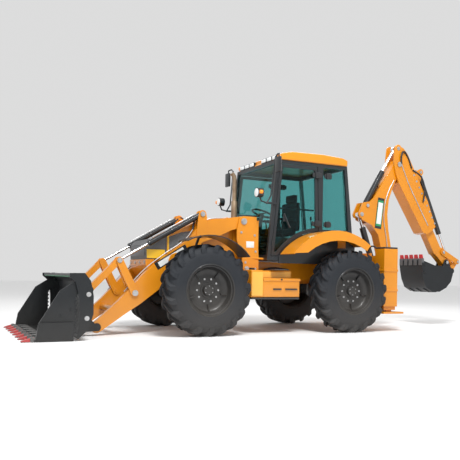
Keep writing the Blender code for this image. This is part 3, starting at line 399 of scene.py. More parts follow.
# ---- painted frame shapes ------------------------------------------------------
coatOf = {
    "amberPaint": ["main_frame", "rear_fenders", "cab_roof", "engine_hood", "hydraulic_tank",
                   "fuel_tank_and_battery_box", "loader_arm_left", "loader_arm_right", "tilt_lever_left",
                   "tilt_lever_right", "tilt_link_left", "tilt_link_right", "backhoe_frame",
                   "stabiliser_leg_left", "stabiliser_leg_right", "swing_carriage", "swing_post", "boom", "dipper",
                   "dipper_extension", "dig_rocker", "dig_push_link"],
    "bucketBlack": ["loader_bucket", "clam_jaw", "dig_bucket"],
    "barrelBlack": ["lift_barrel_left", "lift_barrel_right", "tilt_barrel_left", "tilt_barrel_right",
                    "boom_barrel",
                    "dipper_barrel", "dig_barrel", "front_axle", "rear_axle", "front_knuckle_left",
                    "front_knuckle_right"],
    "cabCharcoal": ["cab_frame", "door_left", "door_right", "mirror_and_lamp_left", "mirror_and_lamp_right"],
    "rodChrome": ["lift_rod_left", "lift_rod_right", "tilt_rod_left", "tilt_rod_right", "boom_rod",
                  "dipper_rod",
                  "dig_rod"],
    "frameGrey": ["engine_block", "nose_grille"],
    "exhaustTan": ["exhaust_pipe"],
}
edgeWidth = {"cab_roof": 0.02, "main_frame": 0.005, "fuel_tank_and_battery_box": 0.004,
             "hydraulic_tank": 0.004,
             "boom": 0.008, "dipper": 0.006, "rear_fenders": 0.004, "loader_arm_left": 0.006,
             "loader_arm_right": 0.006}
for coatName, nodeNames in coatOf.items():
    for nodeName in nodeNames:
        softened(nodeName, paint(coatName), edgeWidth.get(nodeName, 0.003))
for nodeName in ("windscreen", "rear_cab_glass", "door_glass_left", "door_glass_right"):
    pane = frame["nodes"][nodeName]
    pane.data.materials.clear()
    pane.data.materials.append(tealGlass)
print("frame shapes painted")

# the bucket's sides stand in a little, which leaves room for bolt heads inside the box
bucketShape = bpy.data.objects["loader_bucketShape"]
for v in bucketShape.data.vertices:
    if abs(v.co.y) > 1.1955:
        v.co.y = 1.1955 if v.co.y > 0 else -1.1955

# ---- wheels ----------------------------------------------------------------------
wheelSpec = {"lugs": 19, "outer": 0.6815, "carcass": 0.640, "lugWidth": 0.062, "sweep": 0.30, "bolts": 10,
             "boltRing": 0.170, "ribs": 5}


def tyreMesh(bm):
    profile = [(0.372, 0.196), (0.392, 0.205), (0.43, 0.2075), (0.50, 0.2085), (0.545, 0.204), (0.585, 0.186),
               (0.618, 0.165), (0.636, 0.140), (0.640, 0.08), (0.6405, 0.0), (0.640, -0.08), (0.636, -0.140),
               (0.618, -0.165), (0.585, -0.186), (0.545, -0.204), (0.50, -0.2085), (0.43, -0.2075), (0.392,
                                                                                                     -0.205),
               (0.372, -0.196), (0.366, -0.1), (0.366, 0.1), (0.372, 0.196)]
    points = [bm.verts.new((r, 0, h)) for r, h in profile[:-1]]
    edges = [bm.edges.new(pair) for pair in zip(points, points[1:] + points[:1])]
    bmesh.ops.spin(bm, geom=points + edges, cent=(0, 0, 0), axis=(0, 0, 1), angle=2 * pi, steps=72,
                   use_merge=True)
    bmesh.ops.recalc_face_normals(bm, faces=bm.faces)


def lugMesh():
    # one chevron bar, bent over the shoulder
    lug = bmesh.new()
    made = bmesh.ops.create_cube(lug, size=1)["verts"]
    along = [e for e in lug.edges if abs((e.verts[0].co - e.verts[1].co).z) > 0.9]
    bmesh.ops.subdivide_edges(lug, edges=along, cuts=7, use_grid_fill=True)
    spec = wheelSpec
    for v in lug.verts:
        u = v.co.z + 0.5
        outer = v.co.x > 0
        height = -0.012 + u * 0.216
        top = spec["outer"] if u < 0.80 else spec["outer"] - (u - 0.80) ** 1.3 * 0.42
        bottom = spec["carcass"] - 0.012 if u < 0.72 else spec["carcass"] - 0.012 - (u - 0.72) * 0.26
        radius = top if outer else bottom
        half = spec["lugWidth"] * (0.42 if outer else 0.62) * (0.85 + 0.4 * u)
        angle = u ** 1.15 * spec["sweep"] + v.co.y * 2 * half / spec["outer"]
        v.co = (radius * cos(angle), radius * sin(angle), min(height, 0.2065))
    return lug


def addLugs(bm):
    pattern = bpy.data.meshes.new("lug")
    lug = lugMesh()
    lug.to_mesh(pattern)
    lug.free()
    for i in range(wheelSpec["lugs"]):
        for half in (1, -1):
            before = set(bm.verts)
            bm.from_mesh(pattern)
            fresh = [v for v in bm.verts if v not in before]
            turn = Matrix.Rotation(2 * pi * (i + (0.5 if half < 0 else 0)) / wheelSpec["lugs"], 4, "Z")
            flip = Matrix.Diagonal((1, 1, half, 1))
            bmesh.ops.transform(bm, matrix=turn @ flip, verts=fresh)
    bpy.data.meshes.remove(pattern)


def rimMesh(bm):
    profile = [(0.0, 0.134), (0.060, 0.134), (0.078, 0.129), (0.086, 0.118), (0.090, 0.082), (0.112, 0.078),
               (0.118, 0.070), (0.205, 0.066), (0.225, 0.060), (0.262, 0.064), (0.300, 0.074), (0.322, 0.098),
               (0.332, 0.150), (0.346, 0.172), (0.366, 0.178), (0.380, 0.192), (0.389, 0.203), (0.384, 0.207),
               (0.372, 0.204), (0.362, 0.190), (0.350, 0.10), (0.350, -0.10), (0.362, -0.190), (0.372,
                                                                                                -0.204),
               (0.384, -0.207), (0.378, -0.195), (0.345, -0.165), (0.325, -0.02), (0.30, 0.040), (0.14,
                                                                                                  0.046),
               (0.105, 0.0), (0.0905, 0.0), (0.0905, 0.084), (0.0, 0.084)]
    points = [bm.verts.new((r, 0, h)) for r, h in profile]
    edges = [bm.edges.new(pair) for pair in zip(points, points[1:])]
    bmesh.ops.spin(bm, geom=points + edges, cent=(0, 0, 0), axis=(0, 0, 1), angle=2 * pi, steps=64,
                   use_merge=True)
    for i in range(wheelSpec["ribs"]):
        turn = 2 * pi * (i + 0.3) / wheelSpec["ribs"]
        made = addBlock(bm, (0.215, -0.010, 0.05), (0.325, 0.010, 0.094), 0.004)
        bmesh.ops.rotate(bm, cent=(0, 0, 0), matrix=Matrix.Rotation(turn, 3, "Z"),
                         verts=[v for v in made if v.is_valid])


def boltMesh(bm):
    ring = wheelSpec["boltRing"]
    for i in range(wheelSpec["bolts"]):
        turn = 2 * pi * i / wheelSpec["bolts"]
        addBolt(bm, (ring * cos(turn), ring * sin(turn), 0.066), (0, 0, 1), 0.010, 0.020)
    for i in range(6):
        turn = 2 * pi * (i + 0.5) / 6
        addBolt(bm, (0.062 * cos(turn), 0.062 * sin(turn), 0.132), (0, 0, 1), 0.005, 0.004)


def placeWheel(bm, corner, side):
    low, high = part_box("wheel_" + corner)
    centre = (Vector(low) + Vector(high)) / 2
    turn = Matrix.Rotation(-pi / 2 * side, 4, "X")
    bmesh.ops.transform(bm, matrix=Matrix.Translation(centre) @ turn, verts=bm.verts)


for corner, side in (("front_left", 1), ("front_right", -1), ("rear_left", 1), ("rear_right", -1)):
    body = "wheel_" + corner
    for label, builders, coatName in (("tyre", (tyreMesh, addLugs), "tyreRubber"),
                                      ("rim", (rimMesh,), "rimBlack"),
                                      ("bolts", (boltMesh,), "pinSteel")):
        bm = bmesh.new()
        for builder in builders:
            builder(bm)
        placeWheel(bm, corner, side)
        if label == "tyre":
            piece(bm, label + "_" + corner, body, paint(coatName), 40, (body,))
        else:
            piece(bm, label + "_" + corner, body, paint(coatName), 35)
print("wheels ready")

# ---- loader: pins, blank strips, pipes and teeth --------------------------------
loaderSpec = {"armY": 0.52, "armHalf": 0.045, "bossReach": 0.075}


def addBoss(bm, place, y, side, radius, reach=0.03):
    # a pin's end: collar, cap and a small keeper bolt
    start = at(place[0], y, place[1])
    out = Vector((0, side, 0))
    addBar(bm, start, start + out * reach * 0.6, radius * 1.5, 24)
    addBar(bm, start, start + out * reach, radius, 20)
    addBolt(bm, start + out * reach * 0.6 + Vector((radius * 1.15, 0, radius * 0.2)), out, radius * 0.2,
            0.010)


armBosses = [((0.479, 1.776), 0.034, 0.0), ((1.190, 1.855), 0.026, 0.066), ((2.253, 0.622), 0.030, 0.066),
             ((2.815, 0.125), 0.030, 0.046), ((1.56, 1.06), 0.026, 0.060)]
for side, label in ((1, "left"), (-1, "right")):
    armY = side * loaderSpec["armY"]
    bm = bmesh.new()
    for place, radius, away in armBosses:
        if away:
            addBoss(bm, place, armY + side * (away + 0.001), side, radius, 0.016)
    piece(bm, "arm_bosses_" + label, "loader_arms", paint("pinSteel"))
    bm = bmesh.new()
    addBoss(bm, (0.479, 1.776), side * 0.592, side, 0.034, 0.022)
    addBoss(bm, (0.42, 1.02), side * 0.592, side, 0.026, 0.022)
    piece(bm, "tower_pins_" + label, "chassis", paint("pinSteel"))
    bm = bmesh.new()
    addBoss(bm, (2.494, 1.103), side * 0.587, side, 0.026, 0.016)
    piece(bm, "lever_pins_" + label, "tilt_levers", paint("pinSteel"))

    face = armY + side * (loaderSpec["armHalf"] + 0.0005)
    strip = Vector((1.93 - 1.44, 0, 1.02 - 1.325))
    for stripName, coatName, inset, lift in (("arm_strip_", "barrelBlack", 0.0, 0.0015),
                                             ("arm_strip_face_", "whitePlate", 0.018, 0.0025)):
        run = strip.normalized()
        up = Vector((-run.z, 0, run.x))
        start, end = at(1.44, 0, 1.325) + run * inset * 3, at(1.93, 0, 1.02) - run * inset * 3
        half = 0.058 - inset
        bm = bmesh.new()
        corners = [start - up * half, end - up * half, end + up * half, start + up * half]
        ring = [bm.verts.new((c.x, face, c.z)) for c in corners]
        grown = bmesh.ops.extrude_face_region(bm, geom=[bm.faces.new(ring)])["geom"]
        lifted = [g for g in grown if isinstance(g, bmesh.types.BMVert)]
        bmesh.ops.translate(bm, vec=(0, side * lift, 0), verts=lifted)
        piece(bm, stripName + label, "loader_arms", paint(coatName))
    hose("arm_pipe_upper_" + label, "loader_arms",
         [at(0.62, armY - side * 0.02, 1.818), at(0.99, armY - side * 0.02, 1.802),
          at(1.10, armY - side * 0.03, 1.775)], 0.009, paint("pinSteel"))
    hose("arm_pipe_lower_" + label, "loader_arms",
         [at(1.32, armY - side * 0.02, 1.615), at(1.42, armY - side * 0.02, 1.480),
          at(1.80, armY - side * 0.02, 1.205), at(2.10, armY - side * 0.02, 0.968),
          at(2.40, armY - side * 0.02, 0.638)], 0.009, paint("pinSteel"))
    hose("arm_hose_loop_" + label, "loader_arms",
         [at(1.10, armY - side * 0.03, 1.775), at(1.13, armY - side * 0.05, 1.87),
          at(1.25, armY - side * 0.055, 1.82),
          at(1.30, armY - side * 0.04, 1.70), at(1.32, armY - side * 0.02,
                                                 1.615)], 0.014, paint("hoseRubber"))
    hose("tower_hose_" + label, "chassis",
         [at(0.27, side * 0.40, 1.42), at(0.30, side * 0.38, 1.62), at(0.36, side * 0.40, 1.78),
          at(0.45, side * 0.43, 1.70), at(0.46, side * 0.42, 1.48)], 0.015, paint("hoseRubber"))
    # supply pipes along each tilt barrel
    start, end = Vector((1.190, 1.855)), Vector((2.494, 1.103))
    run = (end - start).normalized()
    up = Vector((-run.y, run.x))
    rail = [start + run * s + up * 0.056 for s in (0.12, 0.50, 0.90)]
    hose("tilt_pipe_" + label, "tilt_barrels",
         [at(p.x, armY + side * 0.012, p.y) for p in rail] + [at(rail[-1].x + 0.01, armY,
                                                                 rail[-1].y - 0.022)],
         0.007, paint("pinSteel"), smooth=False)
    bm = bmesh.new()
    for s in (0.16, 0.55, 0.955):
        a, b = start + run * s, start + run * (s + 0.025)
        addBar(bm, at(a.x, armY, a.y), at(b.x, armY, b.y), 0.047, 24, chamfer=0.003)
    piece(bm, "tilt_bands_" + label, "tilt_barrels", paint("barrelBlack"))
    start, end = Vector((0.42, 1.02)), Vector((1.56, 1.06))
    run = (end - start).normalized()
    bm = bmesh.new()
    for s in (0.10, 0.50, 0.885):
        a, b = start + run * s, start + run * (s + 0.025)
        addBar(bm, at(a.x, armY, a.y), at(b.x, armY, b.y), 0.050, 24, chamfer=0.003)
    piece(bm, "lift_bands_" + label, "lift_barrels", paint("barrelBlack"))

jawSpec = {"teeth": 8, "span": 2.28, "tipX": 3.9235, "rootX": 3.70}
bm, adapters = bmesh.new(), bmesh.new()
for i in range(jawSpec["teeth"]):
    y = (i - (jawSpec["teeth"] - 1) / 2) * jawSpec["span"] / (jawSpec["teeth"] - 1)
    addPlate(bm, [(3.76, 0.003), (jawSpec["tipX"], 0.004), (jawSpec["tipX"], 0.014), (3.865, 0.034),
                  (3.76, 0.062)], y - 0.037, y + 0.037)
    addPlate(adapters, [(jawSpec["rootX"], 0.038), (3.78, 0.064), (3.81, 0.060), (3.81, 0.002),
                        (jawSpec["rootX"], 0.002)], y - 0.045, y + 0.045)
piece(bm, "front_teeth", "clam_jaw", paint("toothRed"), bevel=0.003)
piece(adapters, "tooth_adapters", "clam_jaw", paint("frameGrey"), bevel=0.003)
bm = bmesh.new()
addBlock(bm, at(3.56, -1.17, 0.029), at(3.735, 1.17, 0.040), 0.003)
for i in range(7):
    y = (i - 3) * jawSpec["span"] / 7
    addBlock(bm, at(3.60, y - 0.10, 0.036), at(3.71, y + 0.10, 0.052), 0.004)
piece(bm, "cutting_edge", "clam_jaw", paint("frameGrey"))
bm = bmesh.new()
for side in (1, -1):
    for x, z in ((3.30, 0.42), (3.42, 0.34), (3.55, 0.24), (3.66, 0.10)):
        addBolt(bm, at(x, side * 1.1695 if z < 0.25 else side * 1.165, z), (0, side, 0), 0.014, 0.010)
    for z in (0.10, 0.16, 0.22, 0.28, 0.34, 0.40, 0.46, 0.52, 0.58):
        addPlate(bm, [(3.222, z), (3.246, z + 0.016), (3.222, z + 0.032)], side * 1.140, side * 1.160)
piece(bm, "jaw_side_bolts", "clam_jaw", paint("bucketBlack"))
bm = bmesh.new()
addBlock(bm, at(3.16, -1.10, 0.853), at(3.30, 1.10, 0.864), 0.002)
piece(bm, "bucket_green_strip", "loader_bucket", paint("stripGreen"))
bm = bmesh.new()
for y in (-1.0, -0.5, 0.0, 0.5, 1.0):
    addBolt(bm, at(3.22, y, 0.895), (0, 0, 1), 0.016, 0.010)
for side in (1, -1):
    for x, z in ((3.07, 0.62), (3.09, 0.30)):
        addBolt(bm, at(x, side * 1.195, z), (0, side, 0), 0.022, 0.0045)
piece(bm, "bucket_bolts", "loader_bucket", paint("pinSteel"))
bm = bmesh.new()
for y in (-0.80, -0.26, 0.26, 0.80):
    addPlate(bm, [(3.046, 0.80), (3.006, 0.60), (3.006, 0.36), (3.064, 0.17), (3.03, 0.17), (2.975, 0.36),
                  (2.975, 0.60), (3.02, 0.80)], y - 0.012, y + 0.012)
piece(bm, "bucket_back_ribs", "loader_bucket", paint("bucketBlack"), bevel=0.002)
print("loader ready")

# ---- nose, hood and chassis trim --------------------------------------------------
hoodSpec = {"side": 0.4305, "ventX": 1.03, "ventZ": 1.60}
bm, edge, vents = bmesh.new(), bmesh.new(), bmesh.new()
for side in (1, -1):
    y = side * hoodSpec["side"]
    addPlate(bm, [(1.75, 1.30), (2.00, 1.30), (2.00, 1.40), (1.965, 1.43), (1.75, 1.475)], y,
             y + side * 0.004)
    addPlate(bm, [(1.30, 1.24), (1.68, 1.24), (1.68, 1.49), (1.50, 1.56), (1.30, 1.60)], y, y + side * 0.004)
    addPlate(edge, [(1.75, 1.15), (2.035, 1.15), (2.04, 1.285), (1.75, 1.285)], y, y + side * 0.005)
    addPlate(edge, [(1.685, 1.19), (1.708, 1.19), (1.708, 1.50), (1.685, 1.51)], y, y + side * 0.005)
    addBlock(vents, at(hoodSpec["ventX"] - 0.10, y - 0.006, hoodSpec["ventZ"] - 0.045),
                    at(hoodSpec["ventX"] + 0.10, y + 0.006, hoodSpec["ventZ"] + 0.045), 0.0055)
    for i in range(5):
        x = hoodSpec["ventX"] - 0.08 + i * 0.04
        addBlock(vents, at(x - 0.006, y - 0.009, hoodSpec["ventZ"] - 0.035),
                 at(x + 0.006, y + 0.009, hoodSpec["ventZ"] + 0.035), 0.003)
addBlock(bm, at(2.0455, -0.36, 1.19), at(2.053, 0.36, 1.35), 0.002)
piece(bm, "grille_panels", "hood", grilleMesh)
piece(edge, "nose_lower_skirts", "hood", paint("brightYellow"), bevel=0.001)
piece(vents, "hood_vents", "hood", paint("barrelBlack"))
bm = bmesh.new()
for y in (-0.24, 0.24):
    addBlock(bm, at(0.60, y - 0.012, 1.79), at(1.20, y + 0.012, 1.83), 0.006,
             Matrix.Rotation(radians(6.2), 4, "Y"))
addBlock(bm, at(0.50, -0.06, 1.81), at(0.60, 0.06, 1.845), 0.008)
piece(bm, "hood_ribs", "hood", paint("amberPaint"))

bm = bmesh.new()
for x in (0.56, 0.72, 0.88, 1.04):
    for side in (1, -1):
        addBolt(bm, at(x, side * 0.3805, 0.93), (0, side, 0), 0.014, 0.012)
        addBolt(bm, at(x, side * 0.3805, 1.06), (0, side, 0), 0.014, 0.012)
for y in (-0.36, -0.12, 0.12, 0.36):
    addBolt(bm, at(2.0505, y, 1.09), (1, 0, 0), 0.018, 0.012)
for side in (1, -1):
    for x, z in ((0.26, 1.02), (0.44, 1.12), (0.26, 1.30), (0.50, 1.34), (0.28, 1.56), (0.52, 1.60)):
        addBolt(bm, at(x, side * 0.5915, z), (0, side, 0), 0.013, 0.010)
piece(bm, "frame_bolts", "chassis", paint("pinSteel"))
bm = bmesh.new()
for side in (1, -1):
    addBlock(bm, at(0.29, min(side * 0.5912, side * 0.5942), 1.36),
             at(0.43, max(side * 0.5912, side * 0.5942), 1.46), 0.001)
piece(bm, "tower_blank_plates", "chassis", paint("whitePlate"))

# tank and battery box: lid seam, lock, slots, step strip
low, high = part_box("fuel_tank_and_battery_box")
face = high[1]
bm = bmesh.new()
addBlock(bm, (low[0] + 0.06, face - 0.004, 0.69), (low[0] + 0.28, face + 0.004, 0.715), 0.002)
addBlock(bm, (low[0] + 0.35, face - 0.004, 0.69), (low[0] + 0.50, face + 0.004, 0.715), 0.002)
for side in (1, -1):
    addBlock(bm, at(-0.33, min(side * 0.80, side * 0.995), 0.545),
             at(0.52, max(side * 0.80, side * 0.995), 0.569), 0.004)
    for i in range(20):
        x = -0.31 + i * 0.0425
        addBlock(bm, at(x - 0.006, min(side * 0.82, side * 0.99), 0.5695),
                 at(x + 0.006, max(side * 0.82, side * 0.99), 0.574), 0.001)
piece(bm, "step_strips", "chassis", paint("barrelBlack"))
bm = bmesh.new()
addPlate(bm, [(0.325, 0.60), (0.515, 0.60), (0.515, 0.97), (0.325, 0.97)], 0.9805, 0.9835)
addPlate(bm, [(-0.28, 0.885), (0.30, 0.885), (0.30, 0.975), (-0.28, 0.975)], 0.8005, 0.8035)
piece(bm, "tank_face_panels", "chassis", paint("paleCream"), bevel=0.001)
bm = bmesh.new()
addBar(bm, at(0.42, 0.78, 1.001), at(0.42, 0.78, 1.035), 0.045, 24, chamfer=0.006)
addBar(bm, at(0.42, -0.78, 1.001), at(0.42, -0.78, 1.035), 0.045, 24, chamfer=0.006)
addBar(bm, at(0.00, 0.997, 0.855), at(0.00, 1.010, 0.855), 0.014, 16)
piece(bm, "filler_caps", "chassis", paint("cabCharcoal"))
for side, label in ((1, "left"), (-1, "right")):
    hose("rail_pipes_" + label, "chassis", [at(0.52, side * 0.40, 1.165), at(0.10, side * 0.40, 1.150),
         at(-0.50, side * 0.40, 1.148), at(-1.80, side * 0.40,
                                           1.150)], 0.011, paint("pinSteel"), smooth=False)
    hose("rail_hose_" + label, "chassis", [at(0.50, side * 0.42, 1.05), at(0.20, side * 0.50, 0.98),
         at(-0.10, side * 0.48, 1.04), at(-0.45, side * 0.42, 1.02)], 0.014, paint("hoseRubber"))
    brace = bmesh.new()
    addBar(brace, at(0.47, side * 0.56, 1.20), at(0.12, side * 0.60, 1.185), 0.018, 16)
    piece(brace, "step_brace_" + label, "chassis", paint("amberPaint"))
    steps = bmesh.new()
    addBlock(steps, at(-0.16, min(side * 0.73, side * 0.96), 1.005),
             at(0.10, max(side * 0.73, side * 0.96), 1.018), 0.004)
    piece(steps, "tread_plate_" + label, "chassis", paint("floorMat"))
print("chassis trim ready")

# ---- cab outside ---------------------------------------------------------------
bm, lenses, markers = bmesh.new(), bmesh.new(), bmesh.new()
for y in (-0.60, -0.41, -0.22, 0.22, 0.41, 0.60):
    addBlock(bm, at(-0.112, y - 0.085, 2.812), at(-0.060, y + 0.085, 2.895), 0.010)
    addBlock(lenses, at(-0.062, y - 0.072, 2.824), at(-0.050, y + 0.072, 2.884), 0.005)
for y in (-0.60, 0.60):
    addBlock(bm, at(-1.425, y - 0.075, 2.815), at(-1.385, y + 0.075, 2.885), 0.008)
    addBlock(lenses, at(-1.431, y - 0.062, 2.826), at(-1.419, y + 0.062, 2.874), 0.004)
for y in (-0.72, 0.72):
    addBar(markers, at(-0.10, y, 2.86), at(-0.058, y, 2.86), 0.030, 20, chamfer=0.006)
piece(bm, "work_lamp_housings", "chassis", paint("cabCharcoal"))
piece(lenses, "work_lamp_lenses", "chassis", whiteLens)
piece(markers, "roof_markers", "chassis", amberLens)
bm = bmesh.new()
addBlock(bm, at(-1.15, -0.50, 2.951), at(-0.40, 0.50, 2.957), 0.002)
for i in range(5):
    addBlock(bm, at(-1.10 + i * 0.16, -0.46, 2.9535), at(-1.04 + i * 0.16, 0.46, 2.962), 0.002)
piece(bm, "roof_ribs", "chassis", paint("amberPaint"))

for side, label in ((1, "left"), (-1, "right")):
    bm = bmesh.new()
    y = side * 0.739
    addBar(bm, at(-0.165, y, 1.90), at(-0.165, y + side * 0.024, 1.90), 0.010, 12)
    addBar(bm, at(-0.265, y, 1.72), at(-0.265, y + side * 0.024, 1.72), 0.010, 12)
    addBlock(bm, at(-0.20, min(y, y + side * 0.018), 1.80), at(-0.15, max(y, y + side * 0.018), 1.90), 0.006)
    addBar(bm, at(-0.16, y + side * 0.024, 1.92), at(-0.27, y + side * 0.024, 1.70), 0.017, 14, chamfer=0.004)
    addBlock(bm, at(-0.76, min(y - side * 0.024, y - side * 0.034), 2.00),
             at(-0.06, max(y - side * 0.024, y - side * 0.034), 2.028), 0.004)
    piece(bm, "door_handle_" + label, "door_" + label, paint("cabCharcoal"))
    bm = bmesh.new()
    for z in (1.45, 2.45):
        x = -0.012 - (z - 2.0) * 0.1007
        addBar(bm, at(x + 0.003, side * 0.744, z - 0.045), at(x - 0.006, side * 0.744, z + 0.045), 0.011, 14)
    piece(bm, "door_hinges_" + label, "chassis", paint("cabCharcoal"))
    for leaf, body, x0, x1 in (("door", "door_" + label, -0.885, -0.70), ("cab", "chassis", -1.08, -0.935)):
        bm = bmesh.new()
        for z in (1.79, 2.60):
            addBlock(bm, at(x0, min(side * 0.7385, side * 0.762), z - 0.038),
                     at(x1, max(side * 0.7385, side * 0.762), z + 0.038), 0.008)
            addBlock(bm, at((x0 + x1) / 2 - 0.045, min(side * 0.7385, side * 0.782), z - 0.052),
                     at((x0 + x1) / 2 + 0.045, max(side * 0.7385, side * 0.782), z + 0.052), 0.012)
        piece(bm, leaf + "_clasps_" + label, body, paint("barrelBlack"))
    bm = bmesh.new()
    arc = [(-0.93 + 1.05 * cos(radians(d)), 0.60 + 1.05 * sin(radians(d))) for d in range(36, 130, 4)]
    addPlate(bm, [(-0.08, 1.12)] + arc + [(-1.56, 1.12)], side * 0.7405, side * 0.756)
    piece(bm, "fender_liner_" + label, "chassis", paint("barrelBlack"))
    bm = bmesh.new()
    addBar(bm, at(0.3352, side * 0.74, 2.235), at(0.343, side * 0.74, 2.235), 0.066, 32, chamfer=0.004)
    piece(bm, "headlamp_lens_" + label, "chassis", whiteLens)
    bm = bmesh.new()
    addBar(bm, at(0.29, side * 0.855, 2.235), at(0.335, side * 0.855, 2.235), 0.030, 20, chamfer=0.005)
    addBar(bm, at(0.30, side * 0.80, 2.235), at(0.30, side * 0.86, 2.235), 0.010, 10)
    piece(bm, "turn_lamp_" + label, "chassis", amberLens)
    bm = bmesh.new()
    addBlock(bm, at(0.0395, min(side * 0.875, side * 1.005), 2.565),
             at(0.0455, max(side * 0.875, side * 1.005), 2.785), 0.002)
    piece(bm, "mirror_face_" + label, "chassis", paint("rodChrome"))
    bm = bmesh.new()
    addBar(bm, at(-2.275, side * 0.925, 1.20), at(-2.262, side * 0.925, 1.20), 0.04, 20, chamfer=0.004)
    piece(bm, "tail_lamp_" + label, "chassis", redLens)
bm = bmesh.new()
addBar(bm, at(0.108, -0.02, 1.30), at(0.098, -0.02, 1.30), 0.018, 14)
addBlock(bm, at(0.070, -0.40, 1.545), at(0.086, -0.02, 1.560), 0.003)
addBlock(bm, at(0.062, -0.06, 1.32), at(0.098, -0.04, 1.56), 0.003, Matrix.Rotation(radians(-5.7), 4, "Y"))
piece(bm, "wiper", "chassis", paint("barrelBlack"))
bm = bmesh.new()
addBar(bm, at(0.262, -0.235, 1.80), at(0.262, -0.235, 2.20), 0.052, 28, chamfer=0.008)
piece(bm, "exhaust_shield", "chassis", paint("exhaustTan"))
print("cab outside ready")

# ---- cab inside ----------------------------------------------------------------
def cushion(name, low, high, crown, cut):
    bm = bmesh.new()
    made = bmesh.ops.create_cube(bm, size=1)["verts"]
    bmesh.ops.subdivide_edges(bm, edges=bm.edges[:], cuts=7, use_grid_fill=True)
    low, high = Vector(low), Vector(high)
    middle, size = (low + high) / 2, high - low
    thin = min(range(3), key=lambda k: size[k])
    for v in bm.verts:
        others = [k for k in range(3) if k != thin]
        puff = (1 - (2 * abs(v.co[others[0]])) ** 3) * (1 - (2 * abs(v.co[others[1]])) ** 3)
        v.co[thin] *= 0.72 + crown * puff
        if abs(abs(v.co.y) - cut) < 0.05:
            v.co[thin] *= 0.93
    bmesh.ops.scale(bm, vec=size, verts=bm.verts)
    bmesh.ops.translate(bm, vec=middle, verts=bm.verts)
    padded = piece(bm, name, "chassis", paint("seatCloth"), 80)
    smooth = padded.modifiers.new("round", "SUBSURF")
    smooth.levels = smooth.render_levels = 1
    return padded


seatPad = cushion("seat_cushion", at(-0.71, -0.255, 1.60), at(-0.175, 0.255, 1.735), 0.28, 0.30)
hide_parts("operator_seat")
cushion("seat_back", at(-0.80, -0.245, 1.70), at(-0.675, 0.245, 2.20), 0.28, 0.30)
cushion("seat_headrest", at(-0.80, -0.14, 2.21), at(-0.70, 0.14, 2.34), 0.28, 0.9)
for side, label in ((1, "left"), (-1, "right")):
    cushion("seat_arm_" + label, at(-0.66, side * 0.285 - 0.035, 1.86),
            at(-0.34, side * 0.285 + 0.035, 1.91), 0.28, 0.9)
bm = bmesh.new()
addBlock(bm, at(-0.335, -0.17, 1.211), at(-0.20, 0.17, 1.30), 0.015)
for z in (1.32, 1.37, 1.42, 1.47, 1.52):
    addBlock(bm, at(-0.33, -0.15, z - 0.018), at(-0.205, 0.15, z + 0.018), 0.016)
addBlock(bm, at(-0.40, -0.18, 1.54), at(-0.19, 0.18, 1.60), 0.010)
for side in (1, -1):
    addBar(bm, at(-0.72, side * 0.275, 1.70), at(-0.68, side * 0.285, 1.86), 0.012, 12)
    addBar(bm, at(-0.42, side * 0.275, 1.68), at(-0.40, side * 0.285, 1.86), 0.012, 12)
piece(bm, "seat_stand", "chassis", paint("cabCharcoal"))
bm = bmesh.new()
addBlock(bm, at(-0.02, -0.30, 1.60), at(0.050, 0.30, 1.80), 0.02)
addBlock(bm, at(-0.06, -0.16, 1.78), at(0.020, 0.16, 1.90), 0.02)
for y in (-0.62, 0.62):
    addBlock(bm, at(-0.30, y - 0.06, 1.212), at(-0.02, y + 0.06, 1.55), 0.02)
piece(bm, "dash_console", "chassis", paint("cabCharcoal"))
bm = bmesh.new()
for y, x in ((-0.62, -0.22), (-0.62, -0.12), (0.62, -0.22), (-0.20, -1.16), (0.0, -1.18), (0.20, -1.16)):
    foot = 1.55 if x > -0.5 else 1.72
    addBar(bm, at(x, y, foot - 0.01), at(x + 0.02, y, foot + 0.22), 0.007, 10)
    addBar(bm, at(x + 0.02, y, foot + 0.21), at(x + 0.023, y, foot + 0.27), 0.020, 16, tip=0.014,
           chamfer=0.004)
piece(bm, "levers", "chassis", paint("barrelBlack"))
bm = bmesh.new()
addBlock(bm, at(-1.26, -0.32, 1.66), at(-1.10, 0.32, 1.73), 0.02)
piece(bm, "rear_lever_box", "chassis", paint("cabCharcoal"))
bm = bmesh.new()
for y in (-0.14, 0.14, 0.24):
    addBlock(bm, at(0.00, y - 0.04, 1.27), at(0.035, y + 0.04, 1.36), 0.006,
             Matrix.Rotation(radians(-30), 4, "Y"))
piece(bm, "pedals", "chassis", paint("floorMat"))
print("cab inside ready")

# ---- backhoe ---------------------------------------------------------------------
dipperPin = Vector((-3.045, 3.087))
along = Vector((-0.513, -0.858)).normalized()
across = Vector((along.y, -along.x))


def onStick(s, n, y):
    spot = dipperPin + along * s + across * n
    return at(spot.x, y, spot.y)


def pinPair(name, body, place, reach, radius, lift=0.012):
    bm = bmesh.new()
    for side in (1, -1):
        addBoss(bm, place, side * reach, side, radius, lift)
    piece(bm, name, body, paint("pinSteel"))


pinPair("boom_foot_pin", "swing_post", (-2.88, 0.98), 0.1365, 0.030, 0.002)
pinPair("boom_cylinder_foot_pin", "swing_post", (-2.66, 0.90), 0.1365, 0.026, 0.002)
pinPair("boom_cylinder_eye_pin", "boom", (-2.215, 2.09), 0.1005, 0.026)
pinPair("dipper_cylinder_foot_pin", "boom", (-2.34, 2.26), 0.1105, 0.022)
pinPair("dipper_pivot_pin", "dipper", (-3.045, 3.087), 0.1465, 0.032)
pinPair("dipper_cylinder_eye_pin", "dipper", (-3.02, 3.39), 0.1365, 0.024)
pinPair("bucket_cylinder_foot_pin", "dipper_extension", (-3.640, 3.000), 0.0735, 0.020)
pinPair("rocker_pin", "dipper_extension", (-4.225, 1.445), 0.1205, 0.020)
pinPair("rocker_tip_pin", "dig_rocker", (-4.61, 1.262), 0.1135, 0.018)
pinPair("bucket_pin", "dig_bucket", (-4.32, 1.244), 0.1205, 0.022)

